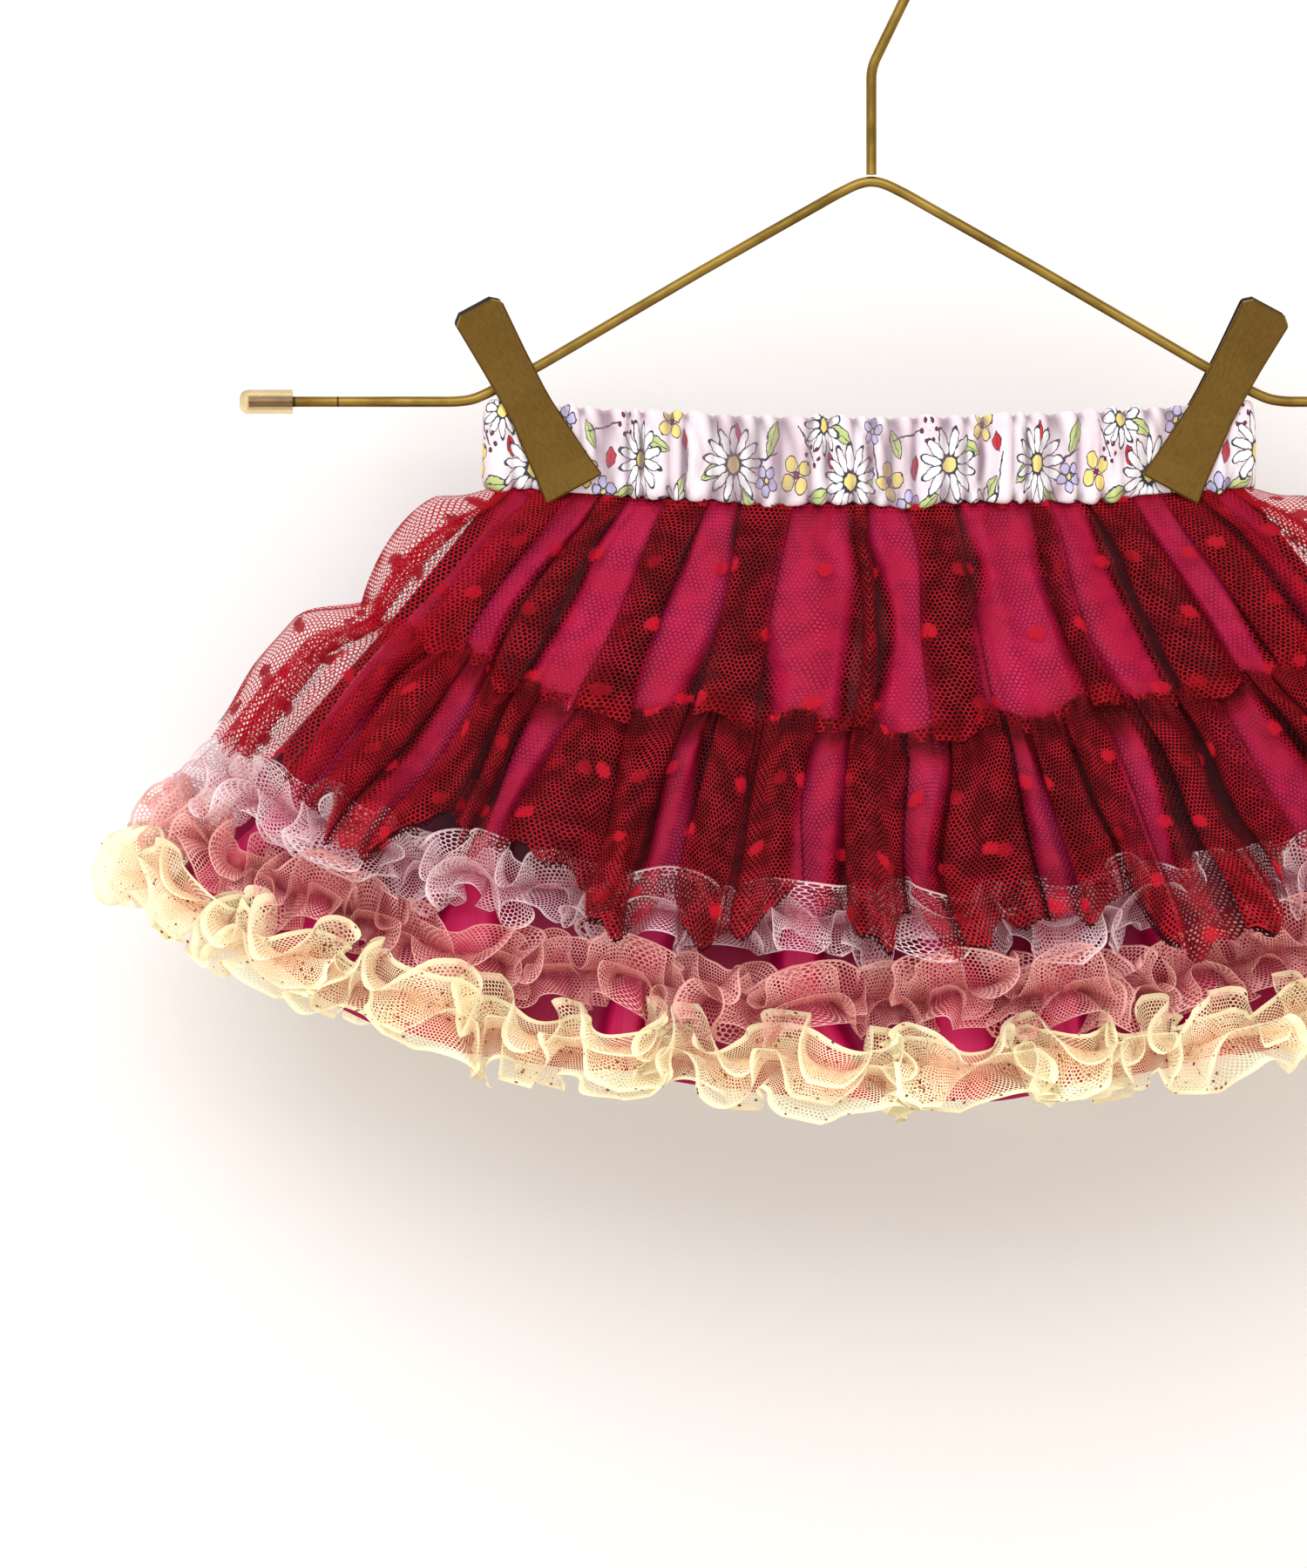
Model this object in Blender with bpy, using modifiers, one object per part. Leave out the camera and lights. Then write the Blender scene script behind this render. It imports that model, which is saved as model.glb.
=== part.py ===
"""A child's tutu skirt hung by its waistband from a wire clip hanger.

The frame has its origin where a rod carries the hook, +X to the right seen from the front,
the front towards -Y and +Z up. All lengths are in metres.

Every cloth ring is a loft with STATIONS points round it. One function, skirt_point, gives the
outer face of the lining at any station and height, and each layer over it is made from those
points, moved out, so no layer can cross the one below.
"""

import math

import bmesh
import bpy
import numpy as np
from mathutils import Vector

# Cloth: the waist
STATIONS = 120
FINE_TURNS = 4001
NORMAL_STEP = 0.004
WAIST_HALF_WIDTH = 0.1065
WAIST_OPEN_HALF = 0.0050
WAIST_PINCHED_HALF = 0.0016
PINCH_FROM = 0.45
PINCH_TO = 0.64
WAIST_FRONT_TOP = -0.1653
WAIST_FRONT_BOTTOM = -0.1890
WAIST_TOP_SAG = 0.0052
WAIST_BOTTOM_SAG = 0.0050
BAND_OUTSIDE_LINING = 0.0020
BAND_WALL = 0.0024
BAND_PUCKERS = 30
BAND_PUCKER_HEIGHT = 0.0009

# Cloth: the skirt, which opens like a fan under the waist
SKIRT_DROP = 0.168
SIDE_SHORTER = 0.020
SIDE_POWER = 4
FAN_ANGLE = math.radians(41)
SECTION_WIDTH = 0.160
SECTION_DEPTH = 0.034
CLOTH = 0.0010
GAP = 0.0003
LEVEL_UNTIL = 0.12
SEAM_LAP = 0.0005

# Lining: how far down, how deep from middle to front, how deep its folds are
LINING_ROWS = (
    {"down": 0.00, "depth": 0.0000, "folds": 0.0000},
    {"down": 0.12, "depth": 0.0060, "folds": 0.0012},
    {"down": 0.38, "depth": 0.0220, "folds": 0.0045},
    {"down": 0.70, "depth": 0.0350, "folds": 0.0060},
    {"down": 1.00, "depth": 0.0440, "folds": 0.0075},
)

# The folds across the front, from side seam to side seam, and mirrored on the back
FOLDS = (
    {"place": -0.94, "half_width": 0.05, "height": 0.7},
    {"place": -0.79, "half_width": 0.08, "height": 0.9},
    {"place": -0.62, "half_width": 0.08, "height": 1.0},
    {"place": -0.43, "half_width": 0.08, "height": 0.8},
    {"place": -0.29, "half_width": 0.06, "height": 0.6},
    {"place": -0.14, "half_width": 0.09, "height": 1.0},
    {"place": 0.04, "half_width": 0.07, "height": 0.9},
    {"place": 0.17, "half_width": 0.05, "height": 0.5},
    {"place": 0.32, "half_width": 0.10, "height": 1.0},
    {"place": 0.52, "half_width": 0.07, "height": 0.8},
    {"place": 0.66, "half_width": 0.06, "height": 0.6},
    {"place": 0.80, "half_width": 0.08, "height": 0.9},
    {"place": 0.94, "half_width": 0.05, "height": 0.7},
)

# Net tiers: their stand off the lining at the front and at the sides, and their own folds
UPPER_TIER_ROWS = (
    {"down": 0.005, "front": 0.0000, "side": 0.0000, "folds": 0.0000},
    {"down": 0.100, "front": 0.0015, "side": 0.0055, "folds": 0.0010},
    {"down": 0.230, "front": 0.0035, "side": 0.0110, "folds": 0.0020},
    {"down": 0.385, "front": 0.0025, "side": 0.0070, "folds": 0.0015},
)
LOWER_TIER_ROWS = (
    {"down": 0.380, "front": 0.0040, "side": 0.0090, "folds": 0.0015},
    {"down": 0.425, "front": 0.0068, "side": 0.0140, "folds": 0.0030},
    {"down": 0.550, "front": 0.0075, "side": 0.0150, "folds": 0.0040},
    {"down": 0.695, "front": 0.0070, "side": 0.0120, "folds": 0.0050},
)
TIER_FOLDS = 26
LOBE_POWER = 6

# Ruffles: top edge, stitched line and bottom edge, as parts of the drop, and their flare
RUFFLES = (
    {"name": "ruffle_pink", "top": 0.604, "stitch": 0.689, "bottom": 0.776, "side_lower": 0.060,
     "top_flare": 0.0042, "bottom_flare": 0.0085, "waves": 30, "turn": 0.0},
    {"name": "ruffle_rose", "top": 0.786, "stitch": 0.838, "bottom": 0.893, "side_lower": 0.055,
     "top_flare": 0.0055, "bottom_flare": 0.0090, "waves": 30, "turn": 0.5},
    {"name": "ruffle_cream", "top": 0.904, "stitch": 0.953, "bottom": 1.012, "side_lower": 0.050,
     "top_flare": 0.0060, "bottom_flare": 0.0100, "waves": 30, "turn": 0.25},
)

LEAST_FLARE = 0.1
HALF_WAVE = 0.5

# Hanger: wires
WIRE = 0.0030
WIRE_ROUNDNESS = 3
HOOK_RADIUS = 0.0200
HOOK_LEAN = math.radians(26)
HOOK_PAST = math.radians(202)
HOOK_STEM_BEND = -0.0642
HOOK_BEND_STEP = 0.0016
HOOK_BEND_STEPS = 4
HOOK_ARC_STEPS = 26
ARM_APEX = -0.0969
ARM_PATH = (
    {"x": 0.0040, "z": -0.0978},
    {"x": 0.0100, "z": -0.1008},
    {"x": 0.0490, "z": -0.1229},
    {"x": 0.0950, "z": -0.1498},
    {"x": 0.1060, "z": -0.1557},
    {"x": 0.1110, "z": -0.1583},
    {"x": 0.1145, "z": -0.1597},
    {"x": 0.1190, "z": -0.1603},
)
ARM_END = 0.1785
ARM_RUN = -0.1603

# Hanger: sleeves over the wire's ends
SLEEVE_RADIUS = 0.0035
SLEEVE_LENGTH = 0.0153
SLEEVE_WALL_END = 0.0025
SLEEVE_END_STEPS = 4
TURN_STEPS = 20
TURN_MERGE = 0.00001

# Hanger: clips. Distances run down the jaw from the wire, which passes between the jaws
CLIP_X = 0.1025
CLIP_Z = -0.1538
CLIP_LEAN = math.radians(28.4)
SPRING_RADIUS = 0.0042
SPRING_LENGTH = 0.0100
JAW_PLATE = 0.0016
BACK_JAW_LONGER = 0.0025
JAW_TOP_ROWS = 2
JAW_EDGE = 0.0005
JAW_EASED_OVER = math.radians(50)
JAW_ROWS = (
    {"down": -0.0226, "half_width": 0.0050, "inside": 0.0078},
    {"down": -0.0205, "half_width": 0.0075, "inside": 0.0074},
    {"down": -0.0060, "half_width": 0.0068, "inside": 0.0047},
    {"down": 0.0060, "half_width": 0.0065, "inside": 0.0047},
    {"down": 0.0110, "half_width": 0.0066, "inside": 0.0040},
    {"down": 0.0290, "half_width": 0.0082, "inside": 0.0040},
    {"down": 0.0365, "half_width": 0.0092, "inside": 0.0062},
)

COLOURS = {
    "waistband": ((0.80, 0.62, 0.60), 0.0, 0.8),
    "lining": ((0.55, 0.03, 0.13), 0.0, 0.5),
    "net_red": ((0.30, 0.01, 0.03), 0.0, 0.7),
    "net_pink": ((0.75, 0.42, 0.48), 0.0, 0.7),
    "net_rose": ((0.58, 0.15, 0.17), 0.0, 0.7),
    "net_cream": ((0.92, 0.78, 0.58), 0.0, 0.7),
    "antique_brass": ((0.24, 0.13, 0.04), 1.0, 0.4),
    "spring_steel": ((0.50, 0.50, 0.50), 1.0, 0.3),
    "amber_sleeve": ((0.62, 0.50, 0.28), 0.0, 0.4),
}


def clear_scene():
    for item in list(bpy.data.objects):
        bpy.data.objects.remove(item)


def make_collection(name):
    made = bpy.data.collections.new(name)
    bpy.context.scene.collection.children.link(made)
    return made


def make_material(name, finish):
    colour, metallic, roughness = COLOURS[finish]
    made = bpy.data.materials.new(name + "_" + finish)
    made.use_nodes = True
    shader = made.node_tree.nodes["Principled BSDF"]
    shader.inputs["Base Color"].default_value = (*colour, 1.0)
    shader.inputs["Metallic"].default_value = metallic
    shader.inputs["Roughness"].default_value = roughness
    made.diffuse_color = (*colour, 1.0)
    return made


def add_object(name, data, finish, collection):
    made = bpy.data.objects.new(name, data)
    data.materials.append(make_material(name, finish))
    collection.objects.link(made)
    return made


def blend(value, start, end):
    """A smooth step from 0 at start to 1 at end."""
    part = min(1.0, max(0.0, (value - start) / (end - start)))
    return part * part * (3 - 2 * part)


def table_value(rows, down, column):
    return float(np.interp(down, [row["down"] for row in rows], [row[column] for row in rows]))


def even_turns():
    """Angles that space the stations evenly along the skirt's middle section, front centre first."""
    fine = np.linspace(0, 2 * math.pi, FINE_TURNS)
    x = SECTION_WIDTH * np.sin(fine)
    y = SECTION_DEPTH * np.cos(fine)
    run = np.concatenate([[0], np.cumsum(np.hypot(np.diff(x), np.diff(y)))])
    wanted = np.arange(STATIONS) * run[-1] / STATIONS
    return [float(turn) for turn in np.interp(wanted, run, fine)]


def waist_half_depth(across):
    """Half the depth of the lining's waist, pinched under the clips and rounded at its ends."""
    open_part = 1 - blend(abs(across), PINCH_FROM, PINCH_TO)
    half = WAIST_PINCHED_HALF + (WAIST_OPEN_HALF - WAIST_PINCHED_HALF) * open_part
    past = abs(across) * WAIST_HALF_WIDTH - (WAIST_HALF_WIDTH - half)
    return half * math.sqrt(max(0.0, 1 - (max(0.0, past) / half) ** 2))


def fan_point(turn, down):
    """A point of the plain fan, without folds, at an angle round it and a part of its drop."""
    across = math.sin(turn)
    front = math.cos(turn)
    side = math.copysign(1.0, front) if abs(front) > 1e-9 else 0.0
    depth = waist_half_depth(across) * side + table_value(LINING_ROWS, down, "depth") * front
    length = down * (SKIRT_DROP - SIDE_SHORTER * across ** SIDE_POWER)
    lean = FAN_ANGLE * across
    top = WAIST_FRONT_BOTTOM + WAIST_BOTTOM_SAG * across * across - GAP
    return Vector((
        WAIST_HALF_WIDTH * across + length * math.sin(lean),
        -depth,
        top - length * math.cos(lean),
    ))


def fan_normal(turn, down):
    """The way out of the fan. It is level at the waist, so that layers there end side by side."""
    step = NORMAL_STEP
    along = fan_point(turn + step, down) - fan_point(turn - step, down)
    below = fan_point(turn, down + step) - fan_point(turn, max(0.0, down - step))
    out = below.cross(along).normalized()
    out.z *= blend(down, 0.0, LEVEL_UNTIL)
    return out.normalized()


def fold_height(turn):
    """How far the table's folds lift the cloth here, from 0 in a valley to 1 on a crest."""
    across = math.sin(turn)
    place = across if math.cos(turn) >= 0 else -across
    lift = 0.0
    for fold in FOLDS:
        away = abs(place - fold["place"]) / fold["half_width"]
        if away < 1:
            lift = max(lift, fold["height"] * math.cos(away * math.pi / 2) ** 2)
    return lift


def skirt_point(turn, down, out=0.0):
    """The lining's outer face, folds included, moved out by a distance."""
    lift = table_value(LINING_ROWS, down, "folds") * fold_height(turn)
    return fan_point(turn, down) + fan_normal(turn, down) * (lift + out)


def wave_part(waves, station, shift=0.0):
    """A wave round the skirt, from 0 to 1. The shift is a part of a turn."""
    return 0.5 + 0.5 * math.cos(2 * math.pi * (waves * station / STATIONS + shift))


def tier_out(row, station, turn):
    """How far a net tier's inner face stands off the lining, most at the side lobes."""
    stand = row["front"] + (row["side"] - row["front"]) * abs(math.sin(turn)) ** LOBE_POWER
    return SEAM_LAP + stand + row["folds"] * wave_part(TIER_FOLDS, station)


def ruffle_out(ruffle, station, edge):
    """How far a ruffle's inner face stands off the lining: at its stitched line or at an edge."""
    if edge == "stitch":
        return SEAM_LAP
    flare = ruffle["top_flare"] if edge == "top" else ruffle["bottom_flare"]
    shift = ruffle["turn"] + (HALF_WAVE if edge == "top" else 0.0)
    wave = wave_part(ruffle["waves"], station, shift)
    return SEAM_LAP + flare * (LEAST_FLARE + (1 - LEAST_FLARE) * wave)


def loft(name, rings, closed, finish, collection):
    """Join rings of equal count, top to bottom, and the last to the first where closed."""
    shape = bmesh.new()
    made = [[shape.verts.new(point) for point in ring] for ring in rings]
    pairs = list(zip(made, made[1:]))
    if closed:
        pairs.append((made[-1], made[0]))
    for upper, lower in pairs:
        for place in range(STATIONS):
            after = (place + 1) % STATIONS
            shape.faces.new((upper[place], lower[place], lower[after], upper[after]))
    mesh = bpy.data.meshes.new(name)
    shape.to_mesh(mesh)
    shape.free()
    mesh.shade_smooth()
    return add_object(name, mesh, finish, collection)


def add_wall(cloth, outwards):
    wall = cloth.modifiers.new("Wall", "SOLIDIFY")
    wall.thickness = CLOTH
    wall.offset = 1.0 if outwards else -1.0
    wall.use_even_offset = False


def band_point(turn, part, out):
    """A point of the waistband, from 0 at its top edge to 1 at its bottom edge."""
    across = math.sin(turn)
    top = WAIST_FRONT_TOP + WAIST_TOP_SAG * across * across
    bottom = WAIST_FRONT_BOTTOM + WAIST_BOTTOM_SAG * across * across
    foot = fan_point(turn, 0.0)
    point = foot + fan_normal(turn, 0.0) * out
    return Vector((point.x, point.y, top + (bottom - top) * part))


def make_waistband(turns, collection):
    """Two layers with puckers raised on the outside only, over a plain inside."""
    rings = []
    for part in (0.0, 0.5, 1.0):
        ring = []
        for station, turn in enumerate(turns):
            free = 1 - blend(abs(math.sin(turn)), PINCH_FROM, PINCH_TO)
            out = BAND_OUTSIDE_LINING + BAND_PUCKER_HEIGHT * free * wave_part(BAND_PUCKERS, station)
            ring.append(band_point(turn, part, out))
        rings.append(ring)
    for part in (1.0, 0.0):
        inside = BAND_OUTSIDE_LINING - BAND_WALL
        rings.append([band_point(turn, part, inside) for turn in turns])
    loft("waistband", rings, True, "waistband", collection)


def make_lining(turns, collection):
    rings = [[skirt_point(turn, row["down"]) for turn in turns] for row in LINING_ROWS]
    add_wall(loft("lining", rings, False, "lining", collection), False)


def make_tier(name, rows, turns, collection):
    rings = []
    for row in rows:
        rings.append([skirt_point(turn, row["down"], tier_out(row, station, turn))
                      for station, turn in enumerate(turns)])
    add_wall(loft(name, rings, False, "net_red", collection), True)


def make_ruffle(ruffle, turns, collection):
    rings = []
    for edge in ("top", "stitch", "bottom"):
        ring = []
        for station, turn in enumerate(turns):
            down = ruffle[edge] + ruffle["side_lower"] * math.sin(turn) ** SIDE_POWER
            ring.append(skirt_point(turn, down, ruffle_out(ruffle, station, edge)))
        rings.append(ring)
    name = ruffle["name"]
    add_wall(loft(name, rings, False, name.replace("ruffle", "net"), collection), True)


def make_wire(name, points, finish, collection):
    curve = bpy.data.curves.new(name, "CURVE")
    curve.dimensions = "3D"
    curve.bevel_depth = WIRE / 2
    curve.bevel_resolution = WIRE_ROUNDNESS
    curve.use_fill_caps = True
    line = curve.splines.new("POLY")
    line.points.add(len(points) - 1)
    for place, point in enumerate(points):
        line.points[place].co = (*point, 1.0)
    return add_object(name, curve, finish, collection)


def make_hook(collection):
    """A stem, a straight that leans to the right, and an arc round the rod to past its left side."""
    centre = Vector((0, 0, WIRE / 2 - HOOK_RADIUS))
    bend_start = HOOK_STEM_BEND - HOOK_BEND_STEP * HOOK_BEND_STEPS / 2
    points = [Vector((0, 0, ARM_APEX + WIRE / 2 + GAP)), Vector((0, 0, bend_start))]
    for step in range(1, HOOK_BEND_STEPS):
        lean = HOOK_LEAN * step / HOOK_BEND_STEPS
        points.append(points[-1] + Vector((math.sin(lean), 0, math.cos(lean))) * HOOK_BEND_STEP)
    for step in range(HOOK_ARC_STEPS + 1):
        angle = -HOOK_LEAN + (HOOK_PAST + HOOK_LEAN) * step / HOOK_ARC_STEPS
        points.append(centre + Vector((math.cos(angle), 0, math.sin(angle))) * HOOK_RADIUS)
    make_wire("hanger_hook", points, "antique_brass", collection)


def make_arms(collection):
    """One wire from the left end, over the rounded top, to the right end."""
    half = [Vector((row["x"], 0, row["z"])) for row in ARM_PATH]
    half.append(Vector((ARM_END, 0, ARM_RUN)))
    left = [Vector((-point.x, 0, point.z)) for point in reversed(half)]
    make_wire("hanger_arms", left + [Vector((0, 0, ARM_APEX))] + half, "antique_brass", collection)


def make_turned(name, profile, finish, collection):
    """Turn (radius, height) rows about the object's own Z axis."""
    shape = bmesh.new()
    made = [shape.verts.new((radius, 0, height)) for radius, height in profile]
    for first, second in zip(made, made[1:]):
        shape.edges.new((first, second))
    if profile[0][0] > 0:
        shape.edges.new((made[-1], made[0]))
    mesh = bpy.data.meshes.new(name)
    shape.to_mesh(mesh)
    shape.free()
    turned = add_object(name, mesh, finish, collection)
    screw = turned.modifiers.new("Turn", "SCREW")
    screw.steps = TURN_STEPS
    screw.render_steps = TURN_STEPS
    screw.use_merge_vertices = True
    screw.merge_threshold = TURN_MERGE
    screw.use_smooth_shade = True
    return turned


def make_sleeve(side, collection):
    """A soft tube over the wire's end, with a rounded blind end."""
    bore = WIRE / 2 + GAP
    length = SLEEVE_LENGTH
    profile = [(0, length)]
    for step in range(1, SLEEVE_END_STEPS + 1):
        angle = math.pi / 2 * (1 - step / SLEEVE_END_STEPS)
        rise = SLEEVE_WALL_END * math.sin(angle)
        profile.append((SLEEVE_RADIUS - SLEEVE_WALL_END * (1 - math.cos(angle)),
                        length - SLEEVE_WALL_END + rise))
    profile += [(SLEEVE_RADIUS, 0), (bore, 0), (bore, length - SLEEVE_WALL_END),
                (0, length - SLEEVE_WALL_END)]
    sign = 1 if side == "right" else -1
    sleeve = make_turned("end_sleeve_" + side, profile, "amber_sleeve", collection)
    start = ARM_END + GAP - (length - SLEEVE_WALL_END)
    sleeve.location = (sign * start, 0, ARM_RUN)
    sleeve.rotation_euler = (0, sign * math.pi / 2, 0)


def make_jaw(name, front, collection):
    """A pressed plate: sections across the jaw, joined down its length, with eased edges."""
    shape = bmesh.new()
    rings = []
    for place, row in enumerate(JAW_ROWS):
        longer = BACK_JAW_LONGER if front > 0 and place < JAW_TOP_ROWS else 0.0
        near = row["inside"] * front
        far = (row["inside"] + JAW_PLATE) * front
        half = row["half_width"]
        corners = ((-half, near), (half, near), (half, far), (-half, far))
        height = longer - row["down"]
        rings.append([shape.verts.new((x, y, height)) for x, y in corners])
    for upper, lower in zip(rings, rings[1:]):
        for place in range(4):
            after = (place + 1) % 4
            shape.faces.new((upper[place], lower[place], lower[after], upper[after]))
    shape.faces.new(rings[0])
    shape.faces.new(reversed(rings[-1]))
    bmesh.ops.recalc_face_normals(shape, faces=shape.faces)
    mesh = bpy.data.meshes.new(name)
    shape.to_mesh(mesh)
    shape.free()
    jaw = add_object(name, mesh, "antique_brass", collection)
    eased = jaw.modifiers.new("Eased edges", "BEVEL")
    eased.width = JAW_EDGE
    eased.segments = 1
    eased.limit_method = "ANGLE"
    eased.angle_limit = JAW_EASED_OVER
    return jaw


def make_clip(side, collection):
    """Two jaws on a spring sleeve round the wire. They stand square to the hanger's arm."""
    sign = 1 if side == "right" else -1
    seat = bpy.data.objects.new("clip_seat_" + side, None)
    collection.objects.link(seat)
    seat.location = (sign * CLIP_X, 0, CLIP_Z)
    seat.rotation_euler = (0, sign * CLIP_LEAN, 0)
    start = "clip_" + side
    front = make_jaw(start + "_front_jaw", -1, collection)
    back = make_jaw(start + "_back_jaw", 1, collection)
    bore = WIRE / 2 + GAP
    half = SPRING_LENGTH / 2
    ring = [(SPRING_RADIUS, half), (SPRING_RADIUS, -half), (bore, -half), (bore, half)]
    spring = make_turned(start + "_spring", ring, "spring_steel", collection)
    spring.rotation_euler = (0, math.pi / 2, 0)
    for piece in (front, back, spring):
        piece.parent = seat


def main():
    clear_scene()
    tutu = make_collection("tutu_on_clip_hanger")
    turns = even_turns()
    make_waistband(turns, tutu)
    make_lining(turns, tutu)
    make_tier("tulle_upper_tier", UPPER_TIER_ROWS, turns, tutu)
    make_tier("tulle_lower_tier", LOWER_TIER_ROWS, turns, tutu)
    for ruffle in RUFFLES:
        make_ruffle(ruffle, turns, tutu)
    make_hook(tutu)
    make_arms(tutu)
    for side in ("left", "right"):
        make_sleeve(side, tutu)
        make_clip(side, tutu)


main()
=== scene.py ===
# %% [markdown]
# # A small child's tutu on a clip hanger
#
# The solid model of this tutu gives its size, its main folds and its hanger. This lesson dresses
# that solid: a magenta lining, two tiers of dotted dark red net, three net ruffles, a gathered
# waistband of flower print, and a brass wire hanger with two clips. Each piece gets its own step.
# Everything is in metres. The origin is where a rod carries the hook, +X is right, the front looks
# towards -Y and +Z is up.

# %% Open the solid model
import math

import bpy
import numpy as np
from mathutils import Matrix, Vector


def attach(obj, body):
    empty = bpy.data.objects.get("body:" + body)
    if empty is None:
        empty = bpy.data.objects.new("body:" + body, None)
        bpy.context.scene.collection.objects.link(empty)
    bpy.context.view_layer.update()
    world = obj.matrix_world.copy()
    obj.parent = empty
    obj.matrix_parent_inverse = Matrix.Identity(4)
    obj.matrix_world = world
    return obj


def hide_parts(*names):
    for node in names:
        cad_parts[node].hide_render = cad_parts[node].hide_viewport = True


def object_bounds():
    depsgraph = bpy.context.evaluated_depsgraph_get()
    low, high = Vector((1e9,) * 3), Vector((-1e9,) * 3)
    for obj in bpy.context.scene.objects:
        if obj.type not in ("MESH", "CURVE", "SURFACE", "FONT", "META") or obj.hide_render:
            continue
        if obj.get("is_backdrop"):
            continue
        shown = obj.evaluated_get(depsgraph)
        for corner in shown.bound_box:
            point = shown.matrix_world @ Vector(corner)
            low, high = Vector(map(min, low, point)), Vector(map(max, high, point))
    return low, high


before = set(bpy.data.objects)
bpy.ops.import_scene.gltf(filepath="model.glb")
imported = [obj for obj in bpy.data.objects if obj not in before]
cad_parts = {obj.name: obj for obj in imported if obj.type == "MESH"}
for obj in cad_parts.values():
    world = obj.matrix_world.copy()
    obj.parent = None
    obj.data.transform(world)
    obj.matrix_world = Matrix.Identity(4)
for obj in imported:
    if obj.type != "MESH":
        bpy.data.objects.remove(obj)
cad_box = [list(corner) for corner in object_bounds()]
print("solid nodes:", len(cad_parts))

# %% [markdown]
# ## The camera
#
# The camera comes first, because every later choice is judged through it. A picture for a catalogue
# is taken from far off, so that wires stay straight and the hem doesn't bulge. A flat camera could do
# that too, but a long lens from 1.6 m away keeps a trace of depth.

# %% Camera
CAMERA_PLACE = (-0.0625, -1.6, -0.270)
SENSOR, LENS = 36, 128  # millimetres, as on a real camera


def add_object(name, data):
    """A new object in the scene. It stays at the origin, so a mesh holds its own place."""
    thing = bpy.data.objects.new(name, data)
    bpy.context.scene.collection.objects.link(thing)
    return thing


camera_lens = bpy.data.cameras.new("front_camera")
camera_lens.sensor_width = SENSOR
camera_lens.lens = LENS
camera = add_object("front_camera", camera_lens)
camera.location = CAMERA_PLACE
camera.rotation_euler = (math.pi / 2, 0, 0)
bpy.context.scene.camera = camera
bpy.context.scene.view_settings.view_transform = "Standard"
bpy.context.scene.cycles.transparent_max_bounces = 16
bpy.context.scene.cycles.diffuse_bounces = 2
bpy.context.scene.cycles.glossy_bounces = 2
print("view height at the tutu, mm:", round(-1000 * CAMERA_PLACE[1] * SENSOR / LENS))

# %% [markdown]
# ## Helpers for node trees
#
# A material is a tree of nodes joined by links. It can be drawn by hand in the node editor, but in
# code a tree can be repeated, named and changed in one place. Each helper makes one node, and takes a
# number, a colour or another node's output wherever a value goes, so that a formula still reads like
# a formula. What several materials share becomes a node group, built once.


# %% Helpers: one node each
def join(tree, value, socket):
    if isinstance(value, bpy.types.NodeSocket):
        tree.links.new(value, socket)
    elif value is not None:
        socket.default_value = value


def add_node(tree, kind, *values, **settings):
    node = tree.nodes.new(kind)
    for name, value in settings.items():
        setattr(node, name, value)
    for place, value in enumerate(values):
        join(tree, value, node.inputs[place])
    return node


def number(tree, operation, *values):
    return add_node(tree, "ShaderNodeMath", *values, operation=operation).outputs[0]


def vector(tree, operation, *values):
    node = add_node(tree, "ShaderNodeVectorMath", *values, operation=operation)
    return node.outputs["Value" if operation == "DOT_PRODUCT" else "Vector"]


def scaled(tree, value, scale):
    node = add_node(tree, "ShaderNodeVectorMath", value, operation="SCALE")
    join(tree, scale, node.inputs["Scale"])
    return node.outputs["Vector"]


def step_between(tree, value, low, high, start=0.0, end=1.0):
    node = add_node(tree, "ShaderNodeMapRange", interpolation_type="SMOOTHSTEP")
    for socket, given in zip(node.inputs, (value, low, high, start, end)):
        join(tree, given, socket)
    return node.outputs[0]


def mixed(tree, share, below, above):
    node = add_node(tree, "ShaderNodeMix", data_type="RGBA")
    for socket, given in ((node.inputs[0], share), (node.inputs[6], below), (node.inputs[7], above)):
        join(tree, given, socket)
    return node.outputs[2]

print("mixing helpers ready")


# %% Helpers: what a node reads
def parts_of(tree, value):
    return add_node(tree, "ShaderNodeSeparateXYZ", value).outputs


def noise_at(tree, where, scale, detail=2.0, dimensions="3D"):
    node = add_node(tree, "ShaderNodeTexNoise", where, noise_dimensions=dimensions)
    node.inputs["Scale"].default_value = scale
    node.inputs["Detail"].default_value = detail
    return node.outputs


def attribute(tree, label):
    return add_node(tree, "ShaderNodeAttribute", attribute_name=label).outputs["Fac"]


def cut_map(tree):
    return add_node(tree, "ShaderNodeUVMap", uv_map="cut").outputs[0]


def object_place(tree):
    return add_node(tree, "ShaderNodeTexCoord").outputs["Object"]


print("reading helpers ready")


# %% Helpers: short formulas
def product(tree, first, second):
    return number(tree, "MULTIPLY", first, second)


def hypotenuse(tree, x, y):
    return number(tree, "SQRT", number(tree, "ADD", product(tree, x, x), product(tree, y, y)))


def apart(tree, value, place):
    return number(tree, "ABSOLUTE", number(tree, "SUBTRACT", value, place))


def stroke(tree, off, thick, inner, outer):
    """A drawn line: 1 near it and 0 away from it. off is the distance from the line."""
    return step_between(tree, off, product(tree, thick, inner), product(tree, thick, outer), 1.0, 0.0)


def linear(red, green, blue):
    """A colour as it is seen on a screen, from 0 to 255, as the shader wants it."""
    parts = [value / 255 for value in (red, green, blue)]
    return tuple(p / 12.92 if p <= 0.04045 else ((p + 0.055) / 1.055) ** 2.4 for p in parts) + (1.0,)


print("mid grey in the shader:", round(linear(128, 128, 128)[0], 3))


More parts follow.
